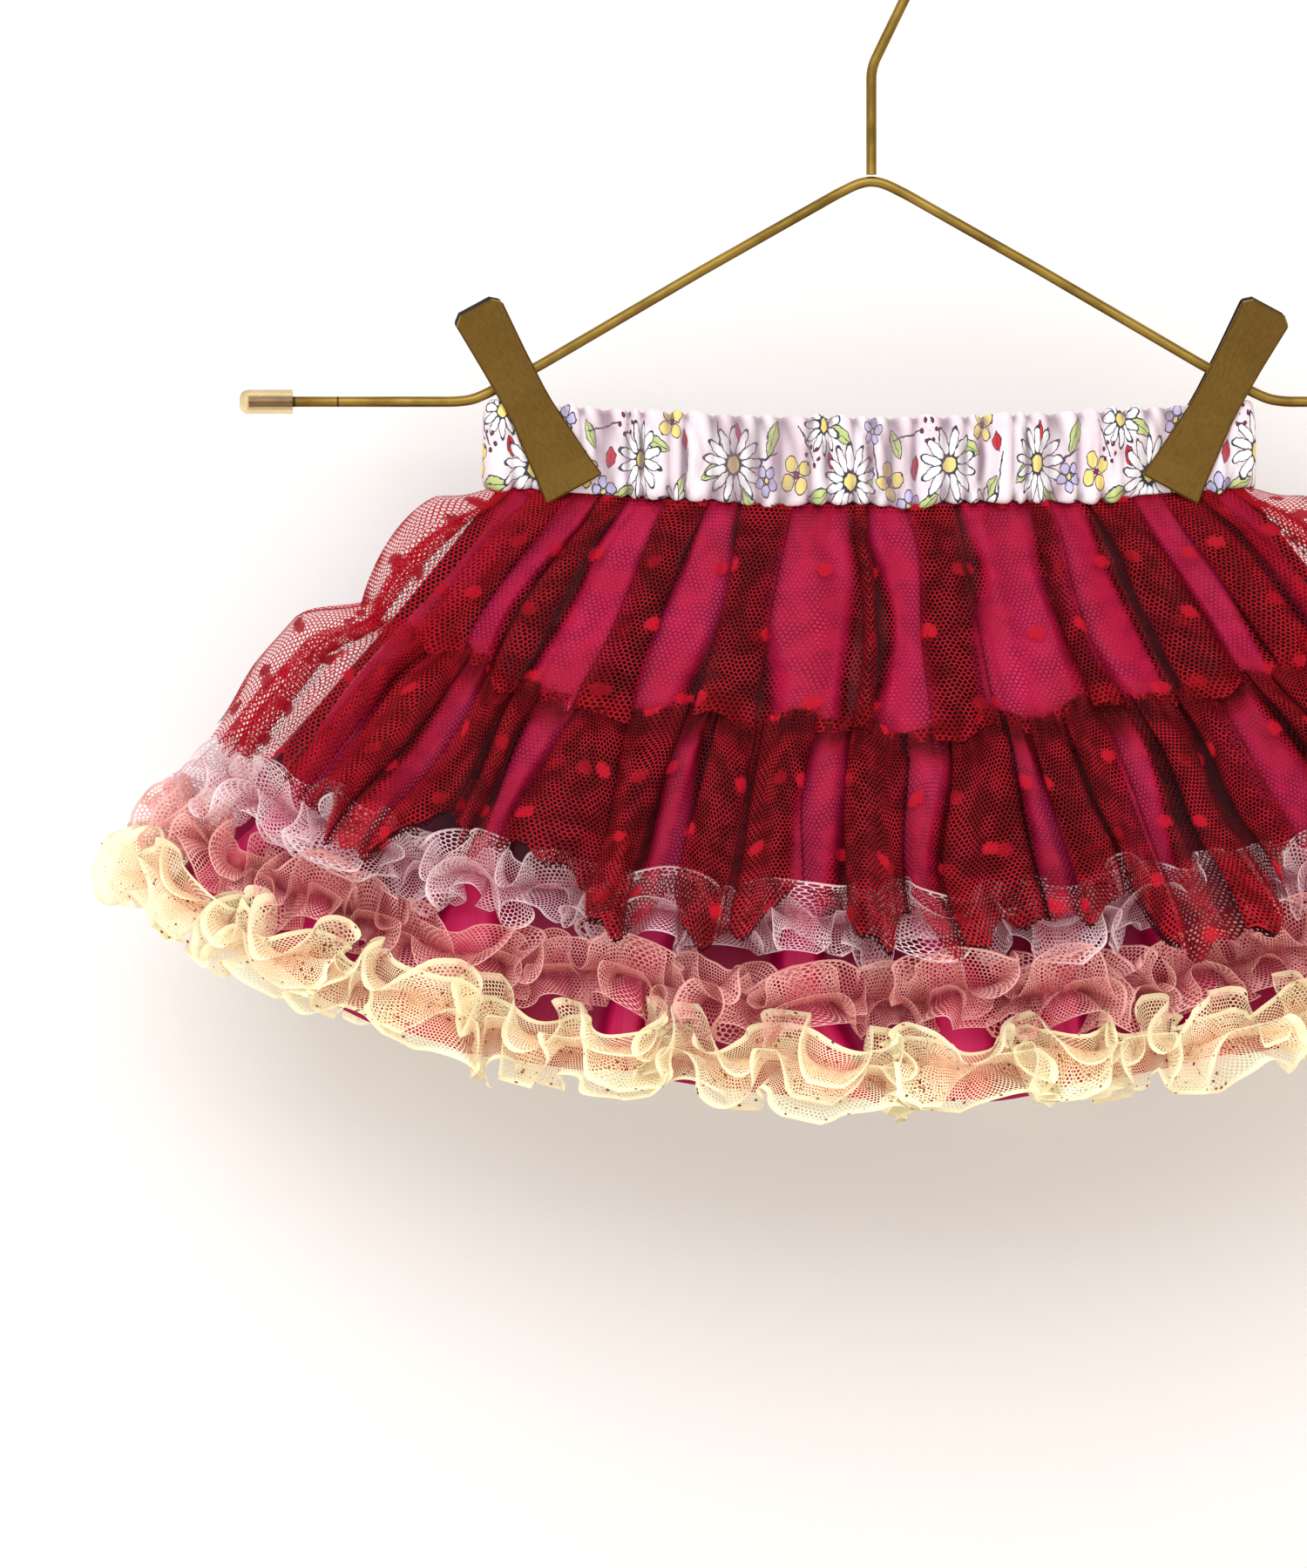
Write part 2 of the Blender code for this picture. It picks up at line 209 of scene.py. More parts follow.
# %% Helpers: groups and materials
def new_group(name, inputs, outputs):
    """A shader group. Inputs and outputs are (name, kind, value); kind is Float, Color or Vector."""
    group = bpy.data.node_groups.new(name, "ShaderNodeTree")
    for label, kind, value in inputs:
        socket = group.interface.new_socket(label, in_out="INPUT", socket_type="NodeSocket" + kind)
        if value is not None:
            socket.default_value = value
    for label, kind in outputs:
        group.interface.new_socket(label, in_out="OUTPUT", socket_type="NodeSocket" + kind)
    taken = group.nodes.new("NodeGroupInput")
    given = group.nodes.new("NodeGroupOutput")
    return group, taken.outputs, given.inputs


def place_group(tree, group, **values):
    node = tree.nodes.new("ShaderNodeGroup")
    node.node_tree = group
    for name, value in values.items():
        join(tree, value, node.inputs[name.replace("_", " ")])
    return node.outputs


def new_material(name, roughness, metallic=0.0, **constants):
    """A material with one Principled shader. Returns the material, its tree and the shader."""
    material = bpy.data.materials.new(name)
    material.use_nodes = True
    tree = material.node_tree
    shader = tree.nodes["Principled BSDF"]
    shader.inputs["Roughness"].default_value = roughness
    shader.inputs["Metallic"].default_value = metallic
    for label, value in constants.items():
        shader.inputs[label.replace("_", " ")].default_value = value
    return material, tree, shader


def bump_from(tree, shader, height, distance, strength=1.0):
    bump = add_node(tree, "ShaderNodeBump")
    bump.inputs["Distance"].default_value = distance
    bump.inputs["Strength"].default_value = strength
    join(tree, height, bump.inputs["Height"])
    tree.links.new(bump.outputs["Normal"], shader.inputs["Normal"])


def paint(tree, shader, colour):
    tree.links.new(colour, shader.inputs["Base Color"])


def speckle(tree, shader, scale, first, second, low=None, high=None):
    """Paints two tones in patches, soft or cut between low and high. Returns the patches."""
    patches = noise_at(tree, object_place(tree), scale)[0]
    share = patches if low is None else step_between(tree, patches, low, high)
    paint(tree, shader, mixed(tree, share, first, second))
    return patches


print("group and material helpers ready")

# %% [markdown]
# ## Wall, floor and light
#
# Behind the tutu is a plain pale wall, and soft light falls on it from the upper left. A picture of a
# room could light the scene, but two lamps and a pale world are easier to steer. The wall is one
# sheet with a clear back, so that a view from behind it still sees the tutu.

# %% Wall and floor
WALL_Y, WALL_TOP = 0.076, 1.6
FLOOR_Z, FLOOR_FRONT = -0.62, -3.0
STAGE_HALF = 2.5


def make_stage_sheet(name, start, end):
    """A sheet between two edges that run from left to right. An edge is a (y, z) place."""
    corners = [(side * STAGE_HALF, y, z) for side, (y, z) in ((-1, start), (1, start), (1, end), (-1, end))]
    mesh = bpy.data.meshes.new(name)
    mesh.from_pydata(corners, [], [(0, 1, 2, 3)])
    sheet = add_object(name, mesh)
    material, tree, shader = new_material(name + "_paint", 0.9, Specular_IOR_Level=0.1)
    speckle(tree, shader, 3.0, linear(254, 251, 247), linear(255, 253, 250), 0.3, 0.7)
    clear = add_node(tree, "ShaderNodeBsdfTransparent")
    behind = add_node(tree, "ShaderNodeNewGeometry").outputs["Backfacing"]
    chosen = add_node(tree, "ShaderNodeMixShader", behind, shader.outputs[0], clear.outputs[0])
    tree.links.new(chosen.outputs[0], tree.nodes["Material Output"].inputs["Surface"])
    mesh.materials.append(material)
    sheet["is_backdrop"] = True


make_stage_sheet("wall", (WALL_Y, FLOOR_Z), (WALL_Y, WALL_TOP))
make_stage_sheet("floor", (FLOOR_FRONT, FLOOR_Z), (WALL_Y, FLOOR_Z))
print("wall behind the tutu, mm:", 1000 * WALL_Y)


# %% Lights: a large soft key from the upper left, a weak fill and a pale room
def make_light(name, place, aim, size, power, colour):
    lamp = bpy.data.lights.new(name, "AREA")
    lamp.shape = "RECTANGLE"
    lamp.size, lamp.size_y = size
    lamp.energy = power
    lamp.color = colour
    holder = add_object(name, lamp)
    holder.location = place
    holder.rotation_euler = (Vector(aim) - Vector(place)).to_track_quat("-Z", "Y").to_euler()


make_light("key_light", place=(-0.28, -1.25, 0.62), aim=(0.0, 0.0, -0.28), size=(1.9, 1.3), power=20.5,
           colour=(0.91, 1.0, 1.11))
make_light("fill_light", place=(1.1, -1.5, 0.1), aim=(0.0, 0.0, -0.25), size=(1.4, 1.4), power=4.0,
           colour=(1.0, 0.98, 0.96))
room = bpy.data.worlds.new("pale_room")
bpy.context.scene.world = room
room.use_nodes = True
backdrop = room.node_tree.nodes["Background"]
backdrop.inputs["Color"].default_value = (1.05, 0.89, 0.75, 1.0)
backdrop.inputs["Strength"].default_value = 0.56
print("lights: key, fill, room")

# %% [markdown]
# ## The form that all the cloth hangs on
#
# The real skirt is a flat, gathered waist from which cloth opens like a fan. The solid model was
# made from one rule, and the same rule is used here at a finer step, so each piece of cloth lies
# where its solid is. A place on the skirt is a turn (0 at the front middle, growing to the right)
# and a part of the drop (0 at the waist, 1 at the lining's hem). Numbers for a whole sheet are
# worked out at once as arrays, which is much faster than a loop over points.

# %% The fan: its sizes
WAIST_HALF_WIDTH = 0.1065
WAIST_OPEN_HALF, WAIST_PINCHED_HALF = 0.0050, 0.0016
PINCH_FROM, PINCH_TO = 0.45, 0.64
WAIST_TOP, WAIST_BOTTOM = -0.1653, -0.1890
WAIST_TOP_SAG, WAIST_BOTTOM_SAG = 0.0052, 0.0050
SEAM_GAP = 0.0003
DROP, SIDE_SHORTER, SIDE_POWER = 0.168, 0.020, 4
FAN_ANGLE = math.radians(41)
SECTION_WIDTH, SECTION_DEPTH = 0.160, 0.034
# Down the skirt, from 0 to 1: half its depth and the height of its folds, in metres.
ROWS_DOWN = np.array((0.0, 0.12, 0.38, 0.70, 1.0))
ROWS_DEPTH = np.array((0.0, 0.0060, 0.0220, 0.0350, 0.0440))
ROWS_FOLDS = np.array((0.0003, 0.0028, 0.0052, 0.0062, 0.0075))
FINE_TURNS = np.linspace(0, 2 * math.pi, 8001)


print("widest fan, degrees:", round(2 * math.degrees(FAN_ANGLE)))


# %% The fan: soft steps, soft curves and the rule itself
def smooth(value, start, end):
    """0 at start, 1 at end, with soft ends."""
    part = np.clip((value - start) / (end - start), 0.0, 1.0)
    return part * part * (3 - 2 * part)


def through(places, values, at):
    """A soft curve through a short table of values."""
    slopes = np.gradient(values, places)
    k = np.clip(np.searchsorted(places, at, side="right") - 1, 0, len(places) - 2)
    gap = places[k + 1] - places[k]
    t = (at - places[k]) / gap
    return ((2 * t**3 - 3 * t**2 + 1) * values[k] + (t**3 - 2 * t**2 + t) * gap * slopes[k]
            + (3 * t**2 - 2 * t**3) * values[k + 1] + (t**3 - t**2) * gap * slopes[k + 1])


def waist_half_depth(across):
    free = 1 - smooth(np.abs(across), PINCH_FROM, PINCH_TO)
    half = WAIST_PINCHED_HALF + (WAIST_OPEN_HALF - WAIST_PINCHED_HALF) * free
    past = np.maximum(0.0, np.abs(across) * WAIST_HALF_WIDTH - (WAIST_HALF_WIDTH - half))
    return half * np.sqrt(np.maximum(0.0, 1 - (past / half) ** 2))


def fan(turn, down):
    turn, down = np.broadcast_arrays(turn, down)
    across, front = np.sin(turn), np.cos(turn)
    side = np.sign(np.round(front, 9))
    depth = waist_half_depth(across) * side + through(ROWS_DOWN, ROWS_DEPTH, down) * front
    length = down * (DROP - SIDE_SHORTER * across**SIDE_POWER)
    top = WAIST_BOTTOM + WAIST_BOTTOM_SAG * across**2 - SEAM_GAP
    lean = FAN_ANGLE * across
    return np.stack((WAIST_HALF_WIDTH * across + length * np.sin(lean), -depth,
                     top - length * np.cos(lean)), axis=-1)


def unit(vectors):
    return vectors / np.maximum(np.linalg.norm(vectors, axis=-1, keepdims=True), 1e-9)


def fan_normal(turn, down):
    step = 0.004
    along = fan(turn + step, down) - fan(turn - step, down)
    below = fan(turn, down + step) - fan(turn, np.maximum(0.0, down - step))
    out = unit(np.cross(below, along))
    out[..., 2] *= smooth(np.broadcast_to(down, out.shape[:-1]), 0.0, 0.12)
    return unit(out)


def even_turns(count):
    """Turns that are evenly spaced along the skirt's middle section."""
    x, y = SECTION_WIDTH * np.sin(FINE_TURNS), SECTION_DEPTH * np.cos(FINE_TURNS)
    run = np.concatenate([[0], np.cumsum(np.hypot(np.diff(x), np.diff(y)))])
    return np.interp(np.arange(count) * run[-1] / count, run, FINE_TURNS)


print("hem half width, mm:", round(1000 * float(fan(math.pi / 2, 1.0)[0]), 1))

# %% [markdown]
# ## Where the cloth folds
#
# Through the net one sees bright strips, where a fold of the lining presses against a single layer
# of net, and dark strips between them, where the net stands in doubled folds over a hollow. Folds
# could be left to chance, but lining and net must agree on these strips. So they are listed once:
# first under the waist, then under the seam between the tiers. The back gets strips of its own.

# %% Strips of lining that touch the net: (place across the front, half width, height)
UPPER_STRIPS = ((-0.93, 0.025, 0.6), (-0.765, 0.030, 0.9), (-0.606, 0.045, 1.0), (-0.406, 0.032, 0.8),
                (-0.133, 0.080, 1.0), (0.045, 0.058, 0.95), (0.316, 0.095, 1.0), (0.513, 0.045, 0.85),
                (0.730, 0.035, 0.8), (0.93, 0.025, 0.6))
LOWER_STRIPS = ((-0.92, 0.022, 0.7), (-0.76, 0.022, 0.8), (-0.585, 0.026, 0.9), (-0.335, 0.018, 0.8),
                (-0.081, 0.022, 0.9), (0.083, 0.032, 1.0), (0.252, 0.018, 0.8), (0.44, 0.022, 0.8),
                (0.66, 0.035, 0.9), (0.83, 0.022, 0.8), (0.94, 0.015, 0.6))
UPPER_BACK = ((-0.92, 0.03, 0.6), (-0.74, 0.05, 0.9), (-0.52, 0.05, 1.0), (-0.30, 0.06, 0.8),
              (-0.05, 0.09, 1.0), (0.20, 0.05, 0.9), (0.43, 0.07, 1.0), (0.66, 0.05, 0.8), (0.90, 0.03, 0.6))
LOWER_BACK = ((-0.90, 0.03, 0.7), (-0.70, 0.03, 0.8), (-0.47, 0.04, 0.9), (-0.22, 0.03, 0.8),
              (0.02, 0.04, 1.0), (0.25, 0.03, 0.9), (0.50, 0.04, 0.9), (0.74, 0.04, 0.8), (0.92, 0.03, 0.6))
HOLLOW = -0.45
STEEP_EDGE, SOFT_EDGE = 0.012, 0.034
STRIP_BEND, STRIP_WIDENS = 0.016, 0.38


def strip_height(strips, place, down):
    """Each strip has one steep side and one soft side, and its edges wander as it falls."""
    lift = np.zeros_like(place)
    free = smooth(down, 0.02, 0.15)
    for k, (middle, half, height) in enumerate(strips):
        left, right = (SOFT_EDGE, STEEP_EDGE) if k % 3 == 1 else (STEEP_EDGE, SOFT_EDGE)
        bend = middle + STRIP_BEND * np.sin(11 * down + 2.3 * k) * free
        wide = half * (1 + STRIP_WIDENS * np.sin(13 * down + 1.7 * k) * free)
        away = np.where(place < bend, (bend - place) / (wide + left), (place - bend) / (wide + right))
        lift = np.maximum(lift, height * (1 - 0.16 * away**2) * (1 - smooth(away, 0.50, 1.0)))
    return lift


def lining_lift(turn, down):
    """How high the lining's folds stand, 0 in a hollow and 1 on a crest."""
    front = np.cos(turn) >= 0
    place = np.where(front, np.sin(turn), -np.sin(turn))
    upper, lower = (np.where(front, strip_height(ahead, place, down), strip_height(behind, place, down))
                    for ahead, behind in ((UPPER_STRIPS, UPPER_BACK), (LOWER_STRIPS, LOWER_BACK)))
    return HOLLOW + (1 - HOLLOW) * (upper + (lower - upper) * smooth(down, 0.37, 0.45))


print("strips on the front:", len(UPPER_STRIPS), "and", len(LOWER_STRIPS))

# %% Fold lines wander as they fall
SWAYS = 54
CREST = 0.72


def soft_table(values, phase):
    """A closed table of values, read at any phase with soft steps between them."""
    start = np.floor(phase)
    k = start.astype(int) % len(values)
    t = phase - start
    t = t * t * (3 - 2 * t)
    return values[k] * (1 - t) + values[(k + 1) % len(values)] * t


SWAY = np.random.default_rng(5).uniform(-1, 1, (3, SWAYS))


def sway(turn, down):
    """A slow wander of every fold line as it falls. It is small, so no fold crosses another."""
    first, second, third = (soft_table(row, turn * SWAYS / (2 * math.pi)) for row in SWAY)
    bends = first * np.sin(7.5 * down) + 0.6 * second * np.sin(15 * down + 1) + 0.8 * third * down
    return 0.024 * smooth(down, 0.0, 0.12) * bends


def lining_point(turn, down, out=0.0, follow=1.0):
    """A point of the lining, or one moved out from it. follow says how much it dips into hollows."""
    lift = lining_lift(turn, down)
    kept = CREST + (lift - CREST) * follow
    rise = through(ROWS_DOWN, ROWS_FOLDS, down) * np.maximum(lift, kept)
    swayed = turn + sway(turn, down)
    return fan(swayed, down) + fan_normal(swayed, down) * (rise + out)[..., None]


print("widest sway, degrees:", round(math.degrees(float(np.abs(sway(even_turns(400), 1.0)).max())), 1))

# %% [markdown]
# ## From points to cloth
#
# Each sheet is a grid of points, rows down and columns round. It could be draped by a cloth
# simulation, but a grid worked out in code is quick, the same on each run, and gives the cloth a map
# in metres, so that a net keeps the size of its cells. Values such as how deep a point lies in a fold
# are stored on the points, and the materials read them.


# %% Helpers for cloth
def make_cloth(name, grid, u, v, values=None, breaks=()):
    """grid is rows x columns x 3, top row first. u and v have one more column, for the way round.
    breaks lists the rows after which a new layer starts."""
    rows, columns = grid.shape[:2]
    kept = [row for row in range(rows - 1) if row not in breaks]
    row, column = np.meshgrid(kept, np.arange(columns), indexing="ij")
    after = (column + 1) % columns
    faces = np.stack((row * columns + column, (row + 1) * columns + column,
                      (row + 1) * columns + after, row * columns + after), axis=-1).reshape(-1, 4)
    mesh = bpy.data.meshes.new(name)
    mesh.from_pydata(grid.reshape(-1, 3).tolist(), [], faces.tolist())
    u = np.broadcast_to(u, (rows, columns + 1))
    v = np.broadcast_to(v, (rows, columns + 1))
    corners = [(row, column), (row + 1, column), (row + 1, column + 1), (row, column + 1)]
    places = np.stack([np.stack((u[c], v[c]), axis=-1) for c in corners], axis=-2)
    mesh.uv_layers.new(name="cut").data.foreach_set("uv", places.reshape(-1).astype(np.float32))
    for label, value in (values or {}).items():
        layer = mesh.attributes.new(label, "FLOAT", "POINT")
        spread = np.broadcast_to(value, (rows, columns)).reshape(-1).astype(np.float32)
        layer.data.foreach_set("value", spread)
    mesh.shade_smooth()
    return add_object(name, mesh)


def finish_cloth(piece, material, node):
    piece.data.materials.append(material)
    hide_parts(node)
    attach(piece, "root")
    print(piece.name, "faces:", len(piece.data.polygons))


def cloth_area(piece):
    return sum(face.area for face in piece.data.polygons)


def round_length(ring):
    """Distances along a closed ring of points, with the full length last."""
    steps = np.linalg.norm(np.roll(ring, -1, axis=0) - ring, axis=-1)
    return np.concatenate([[0], np.cumsum(steps)])


print("cloth helpers ready")

# %% [markdown]
# ## Lining
#
# The real lining is a smooth, slightly shiny magenta cloth. It shows as strips through the net, as
# bare patches between the ruffles and as a rim below the last ruffle. It could be a plain cone, but
# then no strip would shine through. So it is a tube of points on the fan, with crests at the strips
# and hollows between them, and Solidify gives it a thin wall inwards.


# %% Lining: finish
def make_satin():
    material, tree, shader = new_material("magenta_satin", 0.42, Specular_IOR_Level=0.25)
    where = cut_map(tree)
    tone = step_between(tree, noise_at(tree, where, 40.0)[0], 0.35, 0.65)
    bright = mixed(tree, tone, linear(200, 8, 82), linear(216, 22, 102))
    # In the hollows the colour is darkened to near black: painted shade.
    paint(tree, shader, mixed(tree, attribute(tree, "hollow"), bright, linear(36, 1, 9)))
    weave = add_node(tree, "ShaderNodeTexWave", where)
    weave.inputs["Scale"].default_value = 700.0
    height = number(tree, "MULTIPLY_ADD", weave.outputs["Fac"], 0.10, noise_at(tree, where, 160.0)[0])
    bump_from(tree, shader, height, 0.0006, 0.6)
    return material


magenta_satin = make_satin()
print("finish:", magenta_satin.name)

# %% Lining: cloth
LINING_COLUMNS, LINING_ROWS = 860, 42
turns = even_turns(LINING_COLUMNS)[None, :] + math.pi
downs = np.linspace(0.0, 1.0, LINING_ROWS)[:, None]
hem_curl = 0.012 * np.sin(9 * turns + 1.0) * smooth(downs, 0.85, 1.0)
ripple = 0.0005 * np.sin(61 * turns + 3 * np.sin(5 * turns)) * smooth(downs, 0.0, 0.1)
crease = 0.0006 * np.sin(23 * turns + 9 * downs) * smooth(downs, 0.2, 0.6)
lining_grid = lining_point(turns, downs + hem_curl, ripple + crease)
lining_run = round_length(lining_grid[LINING_ROWS // 2])
# How deep each point lies in a hollow, less near the hem; the satin paints it as shade.
hollow = (1 - smooth(lining_lift(turns, downs), -0.2, 0.6)) * (1 - 0.6 * smooth(downs, 0.6, 0.8))
lining = make_cloth("lining_cloth", lining_grid, lining_run, downs * DROP, {"hollow": hollow})
wall = lining.modifiers.new("Wall", "SOLIDIFY")
wall.thickness = 0.0004
wall.offset = -1.0
finish_cloth(lining, magenta_satin, "lining")
print("lining cloth, m2:", round(cloth_area(lining), 4))

# %% [markdown]
# ## Net
#
# Net is a honeycomb of fine threads. Modelling each thread would take millions of faces, so the
# cells are drawn by the material: it finds the nearest cell centre on a staggered grid of the
# cloth's own map, measures how far the cell's wall is, and cuts the rest away with alpha. Where
# layers overlap, the cells beat against each other as in real net. The map is in metres along the
# cloth, so where it is gathered its cells are squeezed.

# %% Net: the group that draws the cells
CELL_GRID, DOT_GRID = (1.0, 1.7320508), (1.0, 1.25)
PAST_ZERO = (200.0, 200.0, 0.0)  # keeps every place positive, as MODULO needs


def nearest_centre(tree, where, lattice):
    """The way from the nearest point of a staggered grid, in grid units."""
    full, half = (*lattice, 1.0), (lattice[0] / 2, lattice[1] / 2, 0.0)
    flat = vector(tree, "MULTIPLY_ADD", where, (1.0, 1.0, 0.0), PAST_ZERO)
    first, second = (vector(tree, "SUBTRACT", vector(tree, "MODULO", place, full), half)
                     for place in (flat, vector(tree, "SUBTRACT", flat, half)))
    nearer = number(tree, "LESS_THAN", vector(tree, "DOT_PRODUCT", first, first),
                    vector(tree, "DOT_PRODUCT", second, second))
    chosen = add_node(tree, "ShaderNodeMix", data_type="VECTOR")
    for socket, given in ((0, nearer), (4, second), (5, first)):
        join(tree, given, chosen.inputs[socket])
    return chosen.outputs[1]


def make_net_cells():
    group, taken, given = new_group(
        "net_cells", (("Where", "Vector", None), ("Cell", "Float", 0.0014), ("Thread", "Float", 0.0002)),
        (("Threads", "Float"),))
    size = number(group, "DIVIDE", 1.0, taken["Cell"])
    way = nearest_centre(group, scaled(group, taken["Where"], size), CELL_GRID)
    way = vector(group, "ABSOLUTE", way)
    flat = vector(group, "DOT_PRODUCT", way, (1.0, 0.0, 0.0))
    slant = vector(group, "DOT_PRODUCT", way, (0.5, 0.8660254, 0.0))
    gap = number(group, "SUBTRACT", 0.5, number(group, "MAXIMUM", flat, slant))
    half = product(group, product(group, taken["Thread"], size), 0.5)
    group.links.new(stroke(group, gap, half, 0.8, 1.25), given["Threads"])
    return group


net_cells = make_net_cells()
print("group:", net_cells.name)


# %% Net: the group that draws the dots
def make_net_dots():
    group, taken, given = new_group(
        "net_dots", (("Where", "Vector", None), ("Spacing", "Float", 0.030), ("Width", "Float", 0.0056),
                     ("Height", "Float", 0.0046)), (("Dots", "Float"),))
    size = number(group, "DIVIDE", 1.0, taken["Spacing"])
    way = nearest_centre(group, scaled(group, taken["Where"], size), DOT_GRID)
    parts = parts_of(group, scaled(group, way, taken["Spacing"]))
    reach = hypotenuse(group, number(group, "DIVIDE", parts[0], taken["Width"]),
                       number(group, "DIVIDE", parts[1], taken["Height"]))
    ragged = noise_at(group, taken["Where"], 1300.0, 1.0, "2D")[0]
    reach = number(group, "MULTIPLY_ADD", ragged, 0.45, reach)
    group.links.new(step_between(group, reach, 0.60, 0.80, 1.0, 0.0), given["Dots"])
    return group


net_dots = make_net_dots()
print("group:", net_dots.name)

# %% Net: where the dots are
DOT_SPACING = 0.034
SIDE_DOTS = {"Spacing": 0.024, "Width": 0.0052, "Height": 0.0040}
SIDE_DOTS_MOVED = (0.012, 0.004, 0.0)


def strayed(tree, where, patches, amount):
    """The place, moved a little at random."""
    away = vector(tree, "SUBTRACT", patches["Color"], (0.5, 0.5, 0.5))
    return vector(tree, "ADD", where, scaled(tree, away, amount))


def dots_of(tree, where, lit):
    """Woven dots. Where a single layer is lit from behind, smaller ones between them show too."""
    spots = place_group(tree, net_dots, Where=where, Spacing=DOT_SPACING)["Dots"]
    beside = vector(tree, "ADD", where, SIDE_DOTS_MOVED)
    more = place_group(tree, net_dots, Where=beside, **SIDE_DOTS)["Dots"]
    return number(tree, "MAXIMUM", spots, product(tree, more, step_between(tree, lit, 0.30, 0.50)))


print("dots apart, mm:", 1000 * DOT_SPACING)


# %% Net: the material
def make_net(name, cell, thread, colours, dot=None, edge=None, drift=0.0006, glow=0.0):
    """colours: dark thread, light thread, thread deep in the folds, thread of a thin lit layer.
    dot: the colour of a dot in the folds and in a lit layer. edge: from where to where on the rim
    the cells fill, and how far. drift: how far threads stray. Pale threads let light through, and
    glow, a faint light of their own colour, stands for that."""
    material, tree, shader = new_material(name, 0.7, Specular_IOR_Level=0.08)
    where = cut_map(tree)
    pull = noise_at(tree, where, 120.0, 1.0, "2D")
    dense, deep, lit, rim = (attribute(tree, label) for label in ("dense", "deep", "lit", "rim"))
    width = number(tree, "MULTIPLY_ADD", dense, thread, thread)
    pulled = strayed(tree, where, pull, drift)
    alpha = place_group(tree, net_cells, Where=pulled, Cell=cell, Thread=width)["Threads"]
    colour = mixed(tree, step_between(tree, pull[0], 0.35, 0.65), colours[0], colours[1])
    # Threads deep in the folds are painted darker, as shade, and threads of a thin lit layer are painted
    # lighter, as light.
    colour = mixed(tree, deep, colour, colours[2])
    colour = mixed(tree, lit, colour, colours[3])
    if dot:
        spots = dots_of(tree, where, lit)
        # A dot of a thin lit layer, seen against the light, is painted darker: painted shade.
        colour = mixed(tree, spots, colour, mixed(tree, lit, dot[0], dot[1]))
        solid = step_between(tree, lit, 0.30, 0.60, 0.76, 0.94)
        alpha = number(tree, "MAXIMUM", alpha, product(tree, spots, solid))
    if edge:
        alpha = number(tree, "MAXIMUM", alpha, step_between(tree, rim, *edge))
    paint(tree, shader, colour)
    tree.links.new(alpha, shader.inputs["Alpha"])
    if glow:
        tree.links.new(colour, shader.inputs["Emission Color"])
        shader.inputs["Emission Strength"].default_value = glow
    return material


red_net = make_net("dotted_red_net", cell=0.0014, thread=0.00031,
                   colours=(linear(120, 9, 17), linear(164, 20, 33), linear(46, 2, 7), linear(184, 12, 32)),
                   dot=(linear(182, 18, 38), linear(150, 10, 30)))
print("finish:", red_net.name)

# %% [markdown]
# ## The two tiers of dotted net
#
# Each tier is one long strip, gathered at its top. Its cut through the skirt is a line that runs flat
# over a bright strip, then in the next dark strip goes forward, back and forward again: a doubled
# fold of three layers with a round front. A plain wave would be easier to draw, but its layers don't
# lie on each other, and the dark strips come out too pale. So that line is drawn with a few points
# for each fold, made soft, and spaced evenly, so that the cells keep their size. At the sides the
# net stands off in one sheer layer. Close to the seams it is pulled into fine gathers.

# %% The line of the folds round the skirt
BESIDE = (1.275, 1.405)  # turns between which the net folds once more, just before the sheer side


def folds_between(strips, centre):
    """The stretches between strips, as turns."""
    ends = []
    for (middle, half, _), (after, after_half, _) in zip(strips, strips[1:]):
        ends.append((centre + math.asin(middle + half), centre + math.asin(after - after_half)))
    return ends


def doubled_fold(under, over):
    """(part of its width, lift in mm, how deep inside it) for each bend of one fold."""
    return ((0.0, 0.0, 0.0), (0.10, -1.6, 0.6), (0.45, -1.2, 1.0), (under, -0.4, 1.0), (under + 0.12, 0.6, 1.0),
            (under - 0.04, 1.3, 1.0), (over + 0.20, 1.2, 1.0), (over, 1.7, 0.7), (over + 0.06, 2.8, 0.1),
            (over + 0.30, 4.0, 0.0), (0.62, 4.1, 0.0), (0.88, 3.0, 0.1), (1.00, 1.2, 0.4), (0.98, -0.6, 0.8))


def fold_line(front, back, split, seed):
    """(turn, lift in mm, how deep inside the fold) for each bend, once round from the left side.
    split is about how wide one fold is, in radians."""
    rng = np.random.default_rng(seed)
    line = []
    left = (-BESIDE[1], -BESIDE[0])
    for start, end in [left] + folds_between(front, 0.0) + [BESIDE] + folds_between(back, math.pi):
        count = max(1, round((end - start) / split))
        cuts = np.linspace(start, end, count + 1)
        cuts[1:-1] += rng.uniform(-0.25, 0.25, count - 1) * (end - start) / count
        for a, b in zip(cuts, cuts[1:]):
            high = rng.uniform(0.7, 1.35)
            bends = doubled_fold(rng.uniform(0.70, 0.95), rng.uniform(-0.08, 0.28))
            line += [(a + part * (b - a), lift * high, deep) for part, lift, deep in bends]
        line.append((end + 0.03, 0.1, 0.0))
    return np.array(line)


def soft_path(line, fine=9):
    """The fold line as a soft closed curve."""
    turn = np.array((2 * math.pi, 0.0, 0.0))
    ring = np.vstack((line[-1] - turn, line, line[0] + turn, line[1] + turn))
    t = (np.arange(fine) / fine)[None, :, None]
    p0, p1, p2, p3 = (ring[k:len(ring) - 3 + k, None, :] for k in range(4))
    made = 0.5 * (2 * p1 + (p2 - p0) * t + (2 * p0 - 5 * p1 + 4 * p2 - p3) * t**2
                  + (3 * p1 - p0 - 3 * p2 + p3) * t**3)
    return made.reshape(-1, 3)


upper_line = fold_line(UPPER_STRIPS, UPPER_BACK, split=0.15, seed=3)
lower_line = fold_line(LOWER_STRIPS, LOWER_BACK, split=0.10, seed=4)
print("bends round the tiers:", len(upper_line), "and", len(lower_line))

# %% The path of the net round the skirt
UPPER_COLUMNS, LOWER_COLUMNS = 1700, 2000
NET_OFF, NET_LEAST_OFF = 0.0008, 0.0005


